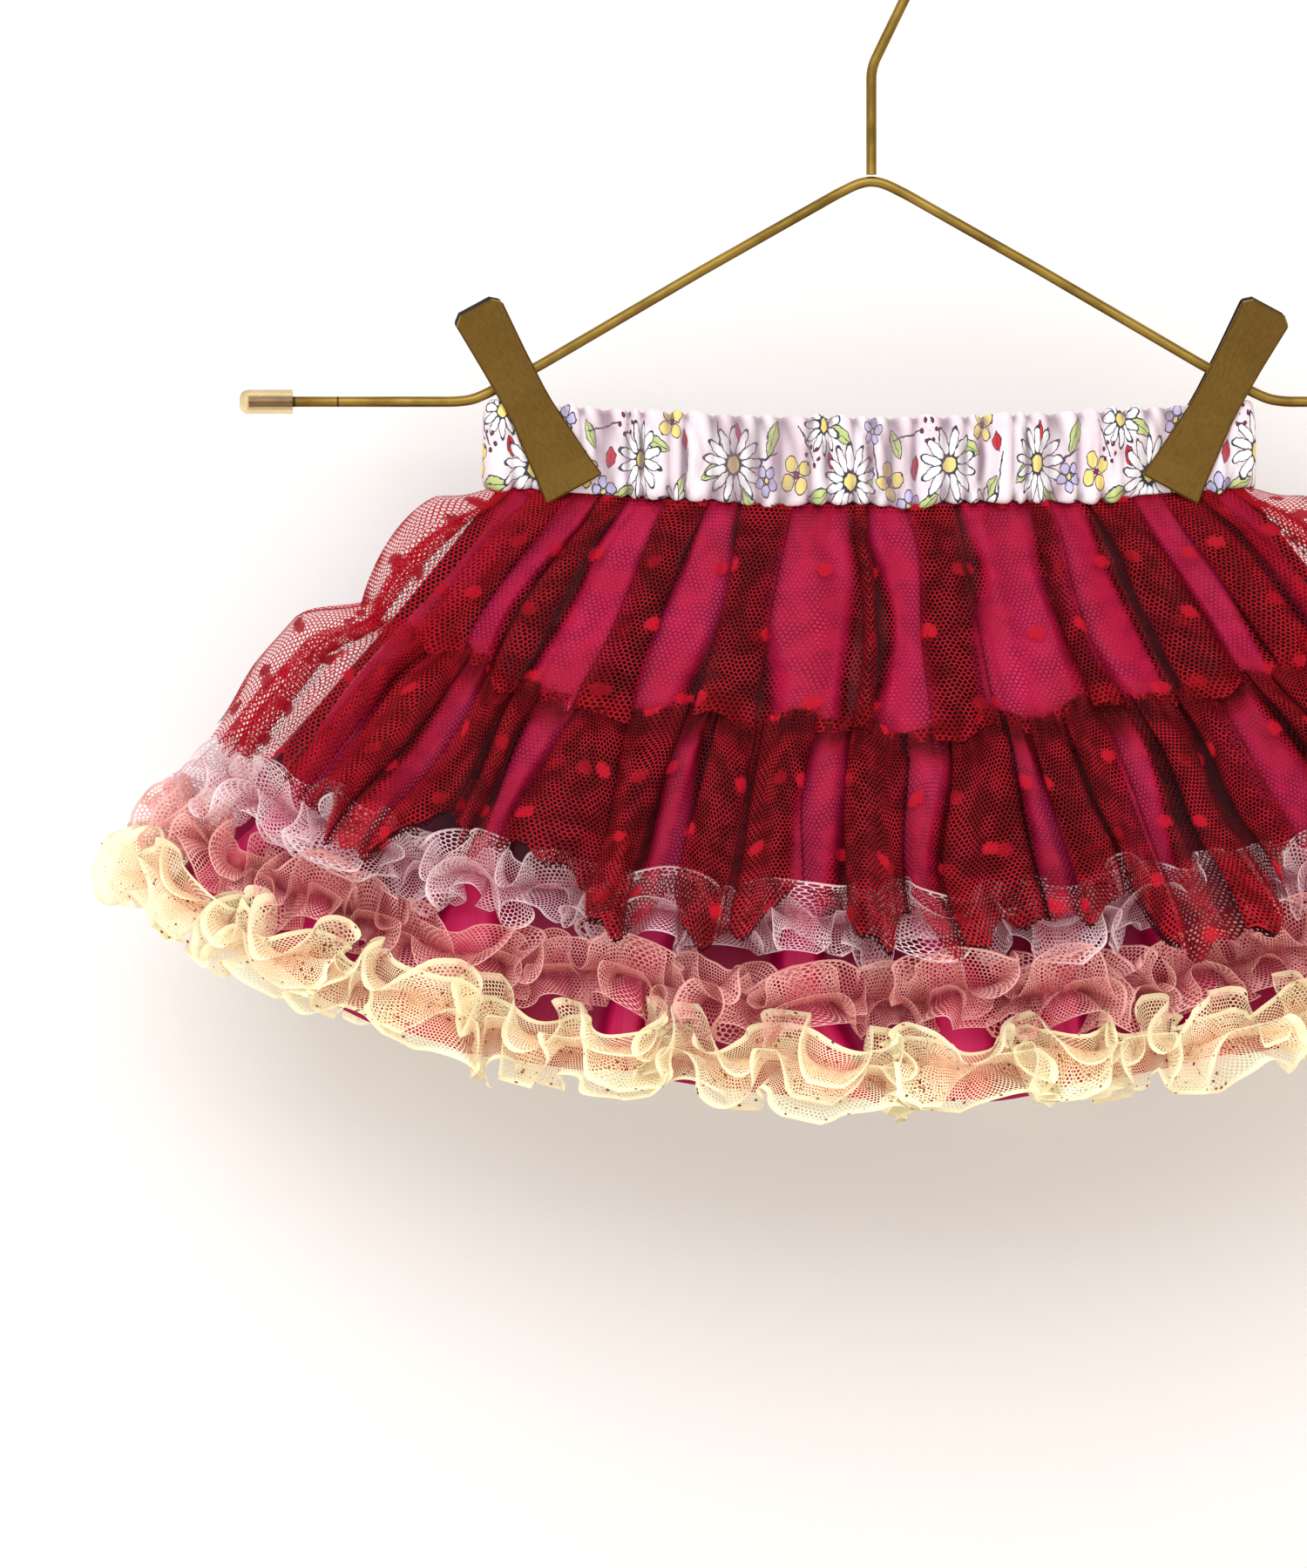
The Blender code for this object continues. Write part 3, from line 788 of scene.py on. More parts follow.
def net_point(turn, down, lift, stand_front, stand_side, height):
    """A point of a tier: over the lining's crests, further off at the sides, lifted by its fold."""
    at_side = np.abs(np.sin(turn)) ** 6
    out = NET_OFF + stand_front + (stand_side - stand_front) * at_side + lift * height / 1000
    lifted = lining_lift(turn, down)
    crest = through(ROWS_DOWN, ROWS_FOLDS, down)
    out = np.maximum(crest * (CREST + (lifted - CREST) * 0.15) + out,
                     crest * lifted + NET_LEAST_OFF + stand_front * 0.5)
    swayed = turn + sway(turn, down)
    return fan(swayed, down) + fan_normal(swayed, down) * out[..., None]


def even_path(path, columns, down):
    """The path again, with its points evenly spaced along the cloth."""
    ring = net_point(path[:, 0], np.full(len(path), down), path[:, 1], 0.0, 0.006, np.ones(len(path)))
    run = round_length(ring)
    wanted = np.arange(columns) * run[-1] / columns
    ends = path[0] + np.array((2 * math.pi, 0.0, 0.0))
    turn, lift, deep = (np.interp(wanted, run, np.append(path[:, k], ends[k]))[None, :] for k in range(3))
    return turn, lift, np.clip(deep, 0, 1), run[-1]


upper_turn, upper_lift, upper_deep, upper_round = even_path(soft_path(upper_line), UPPER_COLUMNS, 0.22)
lower_turn, lower_lift, lower_deep, lower_round = even_path(soft_path(lower_line), LOWER_COLUMNS, 0.52)
print("net round the skirt, mm:", round(1000 * upper_round), round(1000 * lower_round))


# %% Gathers, the seam between the tiers, and the sheer sides
def gathers(cloth, share, fine, seed):
    """Small uneven ripples along a seam, in metres. cloth is the distance along it."""
    wave = np.sin(cloth * 2 * math.pi / fine + 2.2 * np.sin(cloth * 2 * math.pi / (fine * 5.3) + seed))
    return 0.00055 * wave * share


def seam_line(turn):
    """How far down the seam between the tiers is: it wanders, and is higher at the sides."""
    return (0.398 - 0.055 * np.sin(turn) ** 4 + 0.012 * np.sin(9 * turn + 0.7) + 0.009 * np.sin(23 * turn)
            + 0.008 * np.sin(41 * turn + 2 * np.sin(7 * turn)))


def side_threads(turn):
    """(side, edge, share to add to the thread): at the sides the net is sheer, its far layer is finer, and
    a pressed edge runs down the very side."""
    side, edge = np.sin(turn) ** 8, np.exp(-(np.cos(turn) / 0.03) ** 2)
    far = smooth(-np.cos(turn), 0.0, 0.06)
    return side, edge, side * (0.32 - 1.12 * far) * (1 - edge) + 1.3 * edge


def crumple(turn, down, seed):
    """Soft uneven dents of thin cloth, in metres."""
    return 0.00045 * (np.sin(31 * turn + 19 * down + seed) * np.sin(13 * turn - 27 * down)
                      + 0.6 * np.sin(67 * turn - 33 * down + 2 * seed))


def round_map(grid):
    """How far round the cloth each column is, from the mean gap between columns over all rows."""
    gaps = np.linalg.norm(np.roll(grid, -1, axis=1) - grid, axis=-1).mean(axis=0)
    return np.concatenate([[0], np.cumsum(gaps)])


def column_length(grid):
    """How far down the cloth each point is, along its own column."""
    steps = np.linalg.norm(np.diff(grid, axis=0), axis=-1)
    run = np.vstack((np.zeros(grid.shape[1]), np.cumsum(steps, axis=0)))
    return np.hstack((run, run[:, :1]))


print("seam at the front middle, part of the drop:", round(float(seam_line(0.0)), 3))

# %% Upper tier
UPPER_ROWS = 36
UPPER_START, UPPER_PAST_SEAM = 0.004, 0.010
part = np.linspace(0, 1, UPPER_ROWS)[:, None]
upper_down = UPPER_START + part * (seam_line(upper_turn) + UPPER_PAST_SEAM - UPPER_START)
cloth_run = np.arange(UPPER_COLUMNS) * upper_round / UPPER_COLUMNS
near_seams = (1 - smooth(part, 0.0, 0.14)) + smooth(part, 0.86, 0.96)
ripples = (gathers(cloth_run, near_seams, 0.0040, 0.0)
           + crumple(upper_turn, upper_down, 1) * smooth(part, 0.05, 0.3))
fold_size = 0.30 + 0.85 * smooth(part, 0.0, 0.30) - 0.35 * smooth(part, 0.80, 1.0)
stand_front = 0.0003 + 0.0010 * np.sin(part * math.pi) + 0.0022 * np.exp(-((part - 0.91) / 0.05) ** 2)
stand_side = 0.0100 * np.sin(part**0.8 * math.pi) ** 0.8 + 0.003 * part
upper_grid = net_point(upper_turn, upper_down, upper_lift, stand_front + ripples, stand_side, fold_size)
upper_map = round_map(upper_grid)
side, edge, thicker = side_threads(upper_turn)
# deep darkens threads in the folds, less near the seams: painted shade. lit lightens the sheer sides: painted
# light.
upper_tier = make_cloth("upper_tier_net", upper_grid, upper_map, column_length(upper_grid),
                        {"dense": 0.3 * near_seams * (1 - 0.7 * side) + thicker,
                         "deep": upper_deep * (1 - 0.5 * near_seams), "lit": side * (1 - 0.4 * edge)})
finish_cloth(upper_tier, red_net, "tulle_upper_tier")

# %% Lower tier
LOWER_ROWS = 40
LOWER_HEM, LOWER_OVER_SEAM = 0.712, 0.016
# (place across the front, half width, how much further the hem falls there)
HEM_TONGUES = ((-0.75, 0.050, 0.105), (-0.38, 0.060, 0.070), (-0.21, 0.055, 0.050), (-0.01, 0.030, 0.055),
               (0.13, 0.045, 0.065), (0.27, 0.060, 0.055), (0.47, 0.085, 0.115))
part = np.linspace(0, 1, LOWER_ROWS)[:, None]
across = np.sin(lower_turn)
tongues = sum(fall * np.exp(-((across - place) / half) ** 4) for place, half, fall in HEM_TONGUES)
tongues = tongues * (np.cos(lower_turn) > 0)
hem = (LOWER_HEM + tongues - 0.040 * np.exp(-((across + 0.66) / 0.17) ** 2) + 0.014 * np.sin(17 * lower_turn)
       + 0.012 * np.sin(31 * lower_turn + 2) + 0.012 * np.sin(57 * lower_turn + 3 * np.sin(5 * lower_turn))
       + 0.008 * np.sin(131 * lower_turn))
lower_start = seam_line(lower_turn) - LOWER_OVER_SEAM
lower_down = lower_start + part * (hem - lower_start)
cloth_run = np.arange(LOWER_COLUMNS) * lower_round / LOWER_COLUMNS
heading = 1 - smooth(part, 0.09, 0.22)
ripples = (gathers(cloth_run, heading * 1.4, 0.0042, 1.0)
           + crumple(lower_turn, lower_down, 2) * smooth(part, 0.1, 0.4))
fold_size = 0.45 + 0.75 * smooth(part, 0.02, 0.35) + 0.25 * part
stand_front = (0.0006 + 0.0022 * smooth(part, 0.05, 0.22) + 0.0095 * smooth(part, 0.40, 1.0)
               + 0.105 * tongues * smooth(part, 0.45, 1.0))
stand_side = 0.003 + 0.0125 * smooth(part, 0.0, 0.35) - 0.0035 * smooth(part, 0.6, 1.0)
lower_grid = net_point(lower_turn, lower_down, lower_lift, stand_front + ripples, stand_side, fold_size)
lower_map = round_map(lower_grid)
side, edge, thicker = side_threads(lower_turn)
thread_share = (1.2 * heading * (1 - 0.8 * side) + 0.12 * (1 - side) + thicker
                + 8.0 * tongues * smooth(part, 0.60, 0.85))
# deep darkens threads in the folds and in the gathered heading: painted shade. lit lightens the sheer sides:
# painted light.
lower_tier = make_cloth("lower_tier_net", lower_grid, lower_map, column_length(lower_grid),
                        {"dense": thread_share, "deep": np.maximum(lower_deep, 0.70 * heading * (1 - side)),
                         "lit": side * (1 - 0.4 * edge)})
finish_cloth(lower_tier, red_net, "tulle_lower_tier")

# %% [markdown]
# ## The three net ruffles
#
# Each ruffle is a strip of coarse net, gathered and sewn down along its middle, so both edges are
# free and stand up in uneven loops. A plain wave gives even frills, and a simulation of so much
# cloth is slow. Here each free edge is drawn as a river draws its bends: it turns from side to side
# as it runs on. So a place on the strip needs two angles, the one at which the cloth leaves the
# seam line and the one at which its edge runs on. Top and bottom halves turn at different moments.
# Each ruffle is two layers, one behind the other, which fill it as densely as gathered net does.


# %% Ruffle finishes
def make_ruffle_net(name, cell, thread, tones, edge, glow):
    # The deep tone is painted shade towards the seam, and the light tone, used again at the free edges, is
    # painted light there.
    dark, light, deep = (linear(*tone) for tone in tones)
    return make_net(name, cell, thread, (dark, light, deep, light), edge=edge, drift=0.0004, glow=glow)


pink_net = make_ruffle_net("pink_net", 0.0014, 0.00029, ((246, 196, 204), (255, 230, 232), (222, 136, 150)),
                           edge=(0.50, 0.80, 0.0, 0.80), glow=0.05)
rose_net = make_ruffle_net("rose_net", 0.0014, 0.00034, ((236, 146, 144), (252, 188, 180), (196, 84, 90)),
                           edge=(0.50, 0.80, 0.0, 0.75), glow=0.03)
cream_net = make_ruffle_net("cream_net", 0.0012, 0.00034, ((255, 234, 190), (255, 246, 212), (255, 204, 166)),
                            edge=(0.10, 0.26, 0.0, 0.92), glow=0.14)
print("finishes:", pink_net.name, rose_net.name, cream_net.name)

# %% Ruffles: the river rule
WAVE_POINTS = 32
REACH = np.array((0.0, 0.10, 0.22, 0.36, 0.50, 0.64, 0.78, 0.90, 0.955, 1.0))


def uneven(rng, count, low, high):
    """A slow random value for each wave, made soft so that neighbours blend."""
    raw = rng.uniform(low, high, count)
    return lambda phase: soft_table(raw, phase)


def levelled(values, width):
    """The values less their moving average round the ring, so that no slow drift is left."""
    whole = values[-1] - values[0]
    ring = np.concatenate([values[-width:] - whole, values, values[:width] + values[-1] - values[0]])
    return values - np.convolve(ring, np.ones(width) / width, mode="same")[width:-width]


def meander(rng, waves, length, low, high, late):
    """A free edge drawn as a river draws its bends: it turns from side to side by up to low to high
    radians, a part `late` of a wave behind. Gives how far it strays along the ruffle and across it,
    and its own length so far."""
    phase = np.arange(waves * WAVE_POINTS) / WAVE_POINTS
    swing, shove, longer, extra = (uneven(rng, waves, *ends) for ends in (
        (low, high), (-0.16, 0.16), (0.6, 1.4), (-0.45, 0.45)))
    way = (swing(phase) * np.cos(2 * math.pi * (phase + shove(phase) + late))
           + extra(phase) * np.sin(6 * math.pi * phase))
    step = longer(phase)
    step *= length / (np.cos(way) * step).sum()
    ahead, aside = np.cumsum(np.cos(way) * step), np.cumsum(np.sin(way) * step)
    even = np.arange(len(phase)) * length / len(phase)
    return (levelled(ahead - even, 2 * WAVE_POINTS), levelled(aside, WAVE_POINTS),
            np.concatenate([[0], np.cumsum(step)]))


print("rows from seam to free edge:", len(REACH))


# %% Ruffles: one half, from the seam out to the free edge
def ruffle_half(rng, base, axes, waves, length, half, start, swings, lie, down):
    """The rows of one half, and how long its free edge is so far. start is the part of its size by
    which the half reaches down at rest, lie how much the river's bends add, and down is its side."""
    normal, along, below = axes
    phase = np.arange(len(base)) / WAVE_POINTS
    stray, rise, cloth = meander(rng, waves, length, *swings, 0.25 * down)
    size = uneven(rng, waves, 0.74, 1.18)(phase) * half
    lean = uneven(rng, waves, -0.42, 0.42)(phase) * half
    least = (-0.45 if down < 0 else -0.05) * size
    reach_down = np.clip(size * start + lie * rise * (half / 0.015), least, 0.97 * size)
    out = np.sqrt(np.maximum(size**2 - reach_down**2 - 0.4 * stray**2, (0.20 * size) ** 2))
    flat = smooth(reach_down / size, 0.4, 0.95)
    tuck = np.sin(10 * math.pi * phase + 2 * np.sin(2.3 * phase))
    rows = []
    for r in REACH:
        fade = max(0.0, 1 - r / 0.55) ** 1.5
        away = out * r**0.8 + 0.30 * size * flat * r**3 + 0.0012 * tuck * fade
        drop = reach_down * r**1.2 - 0.16 * size * flat * r**5
        rows.append(base + normal * away[:, None] + along * (stray * r**1.2 + lean * r**1.5)[:, None]
                    + below * (down * drop)[:, None])
    return rows, cloth


def stitch_line(turns, stitch, side_lower, seed):
    """How far down a ruffle is sewn on: lower at the sides, and never quite straight."""
    wander = 0.009 * np.sin(13 * turns + seed) + 0.006 * np.sin(37 * turns + 2 * seed)
    return stitch + side_lower * np.sin(turns)**SIDE_POWER + wander


print("a stitch line strays by, mm:", round(500 * DROP * float(np.ptp(stitch_line(FINE_TURNS, 0, 0, 11))), 1))

# %% Ruffles: cloth
# (how far it stands off, swing of its free edge in radians, how much the bends tilt it)
RUFFLE_LAYERS = ((0.0028, (1.3, 2.0), 1.05), (0.0012, (1.1, 1.7), 0.55))
LAYER_TILT = 0.26
NEIGHBOUR = 9  # points to each side, for the direction of the seam


def make_ruffle(name, stitch, side_lower, halves, waves, seed, starts):
    rng = np.random.default_rng(seed)
    turns = even_turns(waves * WAVE_POINTS) + math.pi
    rows, maps, downs = [], [], []
    for layer, (stand, swings, lie) in enumerate(RUFFLE_LAYERS):
        line = stitch_line(turns, stitch, side_lower, seed) + (0.006 * math.sin(seed) + 0.004 if layer else 0.0)
        base = lining_point(turns, line, np.full(len(turns), stand), follow=0.6)
        along = unit(np.roll(base, -NEIGHBOUR, axis=0) - np.roll(base, NEIGHBOUR, axis=0))
        below = unit(np.cross(along, fan_normal(turns, line)))
        axes = (unit(np.cross(below, along)), along, below)
        length = round_length(base)[-1]
        (upper, upper_cloth), (lower, lower_cloth) = (
            ruffle_half(rng, base, axes, waves, length, half, start + LAYER_TILT * layer, swings, lie, down)
            for half, start, down in zip(halves, starts, (-1, 1)))
        rows += upper[:0:-1] + lower
        maps += [(upper_cloth + lower_cloth) / 2 + 0.37 * layer] * (2 * len(REACH) - 1)
        downs += list(halves[0] * (1 - REACH[:0:-1])) + list(halves[0] + halves[1] * REACH)
    reach = np.tile(np.concatenate((REACH[:0:-1], REACH)), 2)[:, None]
    # deep paints shade towards the seam, and lit paints light towards the free edges.
    values = {"dense": 0.45 * (1 - smooth(reach, 0.0, 0.30)), "rim": smooth(reach, 0.84, 1.0),
              "lit": smooth(reach, 0.70, 1.0), "deep": 0.75 * (1 - smooth(reach, 0.0, 0.75))}
    return make_cloth(name, np.array(rows), np.array(maps), np.array(downs)[:, None], values,
                      breaks=(2 * len(REACH) - 2,))


# (piece, stitch line, how much lower at the sides, heights of the halves, waves, seed, how far each
# half reaches down at rest, finish, solid node, slot)
RUFFLES = (
    ("pink_ruffle", 0.718, 0.055, (0.0140, 0.0160), 48, 11, (0.45, 0.50), pink_net, "ruffle_pink", "pink_net"),
    ("rose_ruffle", 0.845, 0.055, (0.0155, 0.0150), 49, 22, (0.36, 0.52), rose_net, "ruffle_rose", "rose_net"),
    ("cream_ruffle", 0.952, 0.050, (0.0160, 0.0168), 50, 33, (0.34, 0.50), cream_net, "ruffle_cream",
     "cream_net"),
)
for name, stitch, side_lower, halves, waves, seed, starts, net, node, slot in RUFFLES:
    piece = make_ruffle(name, stitch, side_lower, halves, waves, seed, starts)
    finish_cloth(piece, net, node)

# %% [markdown]
# ## Stitches and glitter
#
# A row of stitches shows where each ruffle is sewn on, and fine flakes sparkle on the cream net.
# Both could be placed one by one in a loop, but small things that repeat are easier to steer as a
# Geometry Nodes tree. One tree turns a line into a row of stitches: points at even gaps, each with a
# short rounded thread laid along the line. The other scatters tiny six-sided flakes over a cloth.
# Each tree has named inputs, and its result is kept as a plain mesh.


# %% Helpers for Geometry Nodes trees
def new_tree(name, inputs):
    tree = bpy.data.node_groups.new(name, "GeometryNodeTree")
    for label, kind in inputs:
        tree.interface.new_socket(label, in_out="INPUT", socket_type="NodeSocket" + kind)
    tree.interface.new_socket("Geometry", in_out="OUTPUT", socket_type="NodeSocketGeometry")
    return tree, tree.nodes.new("NodeGroupInput").outputs


def place_node(tree, kind, settings=None, **inputs):
    """One node, with its inputs by name. Returns its outputs."""
    node = add_node(tree, kind, **(settings or {}))
    for label, value in inputs.items():
        join(tree, value, node.inputs[label.replace("_", " ")])
    return node.outputs


def close_tree(tree, last, finish):
    """Every tree here ends the same way: real faces, then a finish."""
    real = place_node(tree, "GeometryNodeRealizeInstances", Geometry=last)[0]
    coated = place_node(tree, "GeometryNodeSetMaterial", Geometry=real, Material=finish)[0]
    tree.links.new(coated, tree.nodes.new("NodeGroupOutput").inputs[0])
    return tree


def grow(name, carrier, tree, **values):
    """Runs a Geometry Nodes tree on a mesh and keeps the result as a plain mesh."""
    holder = add_object(name + "_start", carrier)
    modifier = holder.modifiers.new("Grow", "NODES")
    modifier.node_group = tree
    for socket in tree.interface.items_tree:
        if socket.in_out == "INPUT" and socket.name in values:
            modifier[socket.identifier] = values[socket.name]
    bpy.context.view_layer.update()
    grown = bpy.data.meshes.new_from_object(holder.evaluated_get(bpy.context.evaluated_depsgraph_get()))
    bpy.data.objects.remove(holder)
    grown.name = name
    return add_object(name, grown)


def line_mesh(name, points, closed=False):
    mesh = bpy.data.meshes.new(name)
    edges = [(k, k + 1) for k in range(len(points) - 1)] + ([(len(points) - 1, 0)] if closed else [])
    mesh.from_pydata([tuple(p) for p in points], edges, [])
    return mesh


print("tree helpers ready")


# %% Trees: stitches and flakes
def make_stitch_tree():
    tree, taken = new_tree("stitch_row", (
        ("Geometry", "Geometry"), ("Gap", "Float"), ("Size", "Vector"), ("Finish", "Material")))
    line = place_node(tree, "GeometryNodeMeshToCurve", Mesh=taken["Geometry"])[0]
    spots = place_node(tree, "GeometryNodeCurveToPoints", {"mode": "LENGTH"}, Curve=line, Length=taken["Gap"])
    thread = place_node(tree, "GeometryNodeMeshUVSphere", Segments=5, Rings=4, Radius=1.0)["Mesh"]
    laid = place_node(tree, "GeometryNodeInstanceOnPoints", Points=spots["Points"], Instance=thread,
                      Rotation=spots["Rotation"], Scale=taken["Size"])[0]
    return close_tree(tree, laid, taken["Finish"])


def make_flake_tree():
    tree, taken = new_tree("glitter_flakes", (
        ("Geometry", "Geometry"), ("Density", "Float"), ("Seed", "Int"), ("Lift", "Float"),
        ("Radius", "Float"), ("Finish", "Material")))
    spots = place_node(tree, "GeometryNodeDistributePointsOnFaces", Mesh=taken["Geometry"],
                       Density=taken["Density"], Seed=taken["Seed"])
    moved = place_node(tree, "GeometryNodeSetPosition", Geometry=spots["Points"],
                       Offset=scaled(tree, spots["Normal"], taken["Lift"]))[0]
    flake = place_node(tree, "GeometryNodeMeshCircle", {"fill_type": "NGON"}, Vertices=6,
                       Radius=taken["Radius"])[0]
    size = add_node(tree, "FunctionNodeRandomValue", None, None, 0.5, 1.3)
    join(tree, taken["Seed"], size.inputs["Seed"])
    laid = place_node(tree, "GeometryNodeInstanceOnPoints", Points=moved, Instance=flake,
                      Rotation=spots["Rotation"], Scale=size.outputs[1])[0]
    return close_tree(tree, laid, taken["Finish"])


stitch_tree, flake_tree = make_stitch_tree(), make_flake_tree()
print("trees:", stitch_tree.name, flake_tree.name)

# %% Stitch rows
STITCH_POINTS, STITCH_OUT = 1200, 0.0042
STITCH_GAP, STITCH_SIZE = 0.0024, (0.00022, 0.00022, 0.0009)
# (finish, light tone, dark tone), one for each ruffle
THREADS = (("pink_thread", linear(236, 180, 190), linear(196, 120, 136)),
           ("rose_thread", linear(206, 116, 116), linear(160, 70, 76)),
           ("cream_thread", linear(252, 234, 196), linear(222, 186, 140)))


def make_thread(name, light, dark):
    material, tree, shader = new_material(name, 0.65, Specular_IOR_Level=0.3)
    speckle(tree, shader, 700.0, dark, light)
    return material


def stitch_ring(stitch, side_lower, seed):
    turns = even_turns(STITCH_POINTS) + math.pi
    line = stitch_line(turns, stitch, side_lower, seed)
    return lining_point(turns, line, np.full(STITCH_POINTS, STITCH_OUT), follow=0.6)


for (name, stitch, side_lower, _, _, seed, *_, slot), thread in zip(RUFFLES, THREADS):
    ring = line_mesh(name + "_line", stitch_ring(stitch, side_lower, seed), closed=True)
    row = grow(name + "_stitches", ring, stitch_tree, Gap=STITCH_GAP, Size=STITCH_SIZE,
               Finish=make_thread(*thread))
    row.data.shade_smooth()
    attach(row, "root")
    print(row.name, "faces:", len(row.data.polygons))

# %% Glitter
FLAKES_PER_M2, FLAKE_SEED = 26000.0, 4
FLAKE_LIFT, FLAKE_RADIUS = 0.00015, 0.00046
gold_glitter, glitter_nodes, glitter_shader = new_material("gold_glitter", 0.35, 0.6)
speckle(glitter_nodes, glitter_shader, 450.0, linear(176, 132, 56), linear(112, 58, 36), 0.45, 0.55)
glitter = grow("cream_glitter", bpy.data.objects["cream_ruffle"].data.copy(), flake_tree,
               Density=FLAKES_PER_M2, Seed=FLAKE_SEED, Lift=FLAKE_LIFT, Radius=FLAKE_RADIUS,
               Finish=gold_glitter)
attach(glitter, "root")
print("flakes:", len(glitter.data.polygons))

# %% [markdown]
# ## The waistband
#
# The band is a strip of printed cotton, folded over an elastic and pulled into upright puckers. The
# puckers could be a bump in the material, but then the band's edges stay straight. So it is one
# sheet with real puckers: up the inside, over the top edge and down the outside. The clips press it
# flat where they hold it.

# %% Waistband: its rows and its puckers
BAND_COLUMNS = 1320
PUCKERS = 66
# Rows from the inside over the top edge to the outside's foot: (part of the height, how far out,
# share of the puckers)
BAND_ROWS = (
    (0.98, -0.0002, 0.0), (0.5, -0.0003, 0.0), (0.06, -0.0002, 0.0), (0.012, 0.0001, 0.1),
    (-0.008, 0.0008, 0.4), (-0.004, 0.0014, 0.7), (0.02, 0.0018, 0.85), (0.06, 0.0019, 1.0),
    (0.14, 0.0019, 1.0), (0.24, 0.0018, 1.0), (0.36, 0.0018, 1.0), (0.50, 0.0018, 1.0),
    (0.64, 0.0018, 1.0), (0.76, 0.0018, 1.0), (0.86, 0.0019, 1.0), (0.94, 0.0019, 1.0),
    (1.00, 0.0018, 0.9), (1.035, 0.0015, 0.7), (1.03, 0.0010, 0.4))
BAND_MIDDLE_ROW = 11
PUCKER_HEIGHT, SCALLOP, SAG = 0.0036, 0.0013, 0.0022


def puckers_round(turns):
    """How high a pucker stands at each turn. They are evenly spaced as seen from the front."""
    rng = np.random.default_rng(7)
    shove, size = (uneven(rng, PUCKERS, *ends) for ends in ((-0.3, 0.3), (0.35, 1.25)))
    x = WAIST_HALF_WIDTH * np.sin(FINE_TURNS)
    run = np.concatenate([[0], np.cumsum(np.abs(np.diff(x)))])
    phase = np.interp(turns % (2 * math.pi), FINE_TURNS, run) / run[-1] * PUCKERS
    return np.abs(np.sin(math.pi * (phase + shove(phase)))) ** 1.1 * size(phase)


print("puckers round the band:", PUCKERS)


# %% Waistband: cloth
def band_grid():
    turns = even_turns(BAND_COLUMNS) + math.pi
    across, aside = np.sin(turns), np.abs(np.sin(turns))
    pucker = puckers_round(turns)
    foot = fan(turns, 0.0)
    normal = fan_normal(turns, 0.0)
    top = WAIST_TOP + WAIST_TOP_SAG * across**2
    bottom = WAIST_BOTTOM + WAIST_BOTTOM_SAG * across**2
    swags = (0.5 + 0.5 * np.sin(9 * turns + 2.5 * np.sin(4 * turns))) ** 2
    grid, shade = [], []
    for part, out, share in BAND_ROWS:
        wander = np.roll(pucker, int(round(14 * math.sin(3 * part))))
        blend = 0.6 * pucker + 0.4 * wander
        jaw_lean = 0.15 * (1 - min(1.0, max(0.0, part)))
        free = (1 - 0.95 * smooth(aside, 0.665 + jaw_lean, 0.715 + jaw_lean)
                + 0.85 * smooth(aside, 0.885 + 0.6 * jaw_lean, 0.935 + 0.6 * jaw_lean))
        lift = PUCKER_HEIGHT * blend * share * free
        scallop = SCALLOP * (pucker - 0.5) * free * (smooth(part, 0.8, 1.0) - (1 - smooth(part, -0.02, 0.15)))
        sag = SAG * smooth(part, 0.3, 1.0) * swags * free
        ring = foot + normal * (out + lift)[:, None]
        ring[:, 2] = top + (bottom - top) * part - scallop * (share > 0) - sag * share
        grid.append(ring)
        # High in the grooves between the puckers, where the print gets painted shade.
        shade.append((1 - smooth(blend, 0.12, 0.70)) * free * share)
    return np.array(grid), np.array(shade)


band_points, band_shade = band_grid()
band_run = round_length(band_points[BAND_MIDDLE_ROW])
down_run = round_length(band_points[:, 0])[:-1]
TILE, PRINT_SCALE = 104.0, 1.25
CUT_LONGER = 1.1  # the printed strip is longer than the band, because it is gathered
TILES_ROUND = max(1, round(1000 * band_run[-1] * CUT_LONGER / (TILE * PRINT_SCALE)))
band_cut = band_run * (TILES_ROUND * TILE * PRINT_SCALE / 1000 / band_run[-1])
waistband = make_cloth("waistband_cloth", band_points, band_cut, down_run[:, None], {"hollow": band_shade})
print("band round, mm:", round(1000 * band_run[-1]), "over its fold, mm:", round(1000 * down_run[-1], 1))

# %% [markdown]
# ## The waistband's print
#
# The cloth carries a small line-drawn flower print of a common kind. The flowers and their layout
# here are made up for this lesson. A print could be a picture laid on the cloth, but drawn by nodes
# it stays sharp at any size and each motif can be changed by a number. Each motif is a shader group
# that paints over the colour given to it: a ring of petals is an ellipse repeated round a centre,
# with a drawn line where its edge is, and a leaf is a lens with a vein. The material places about
# forty of them on a tile in millimetres.

# %% Print: what every motif needs
LINE = 0.21
MOTIF_INPUTS = (("Below", "Color", None), ("Where", "Vector", None), ("Centre", "Vector", None),
                ("Size", "Float", 5.0), ("Turn", "Float", 0.0), ("Width", "Float", 0.3), ("Ink", "Color", None))


def local_place(tree, taken):
    """Where the point is, seen from a motif's middle, in units of its size."""
    from_centre = vector(tree, "SUBTRACT", taken["Where"], taken["Centre"])
    turned = add_node(tree, "ShaderNodeVectorRotate", rotation_type="Z_AXIS")
    join(tree, scaled(tree, from_centre, number(tree, "DIVIDE", 1.0, taken["Size"])), turned.inputs["Vector"])
    join(tree, taken["Turn"], turned.inputs["Angle"])
    parts = parts_of(tree, turned.outputs[0])
    return parts[0], parts[1]


def painted(tree, below, fill, colour, line, ink):
    return mixed(tree, line, mixed(tree, fill, below, colour), ink)


print("drawn line, mm:", LINE)


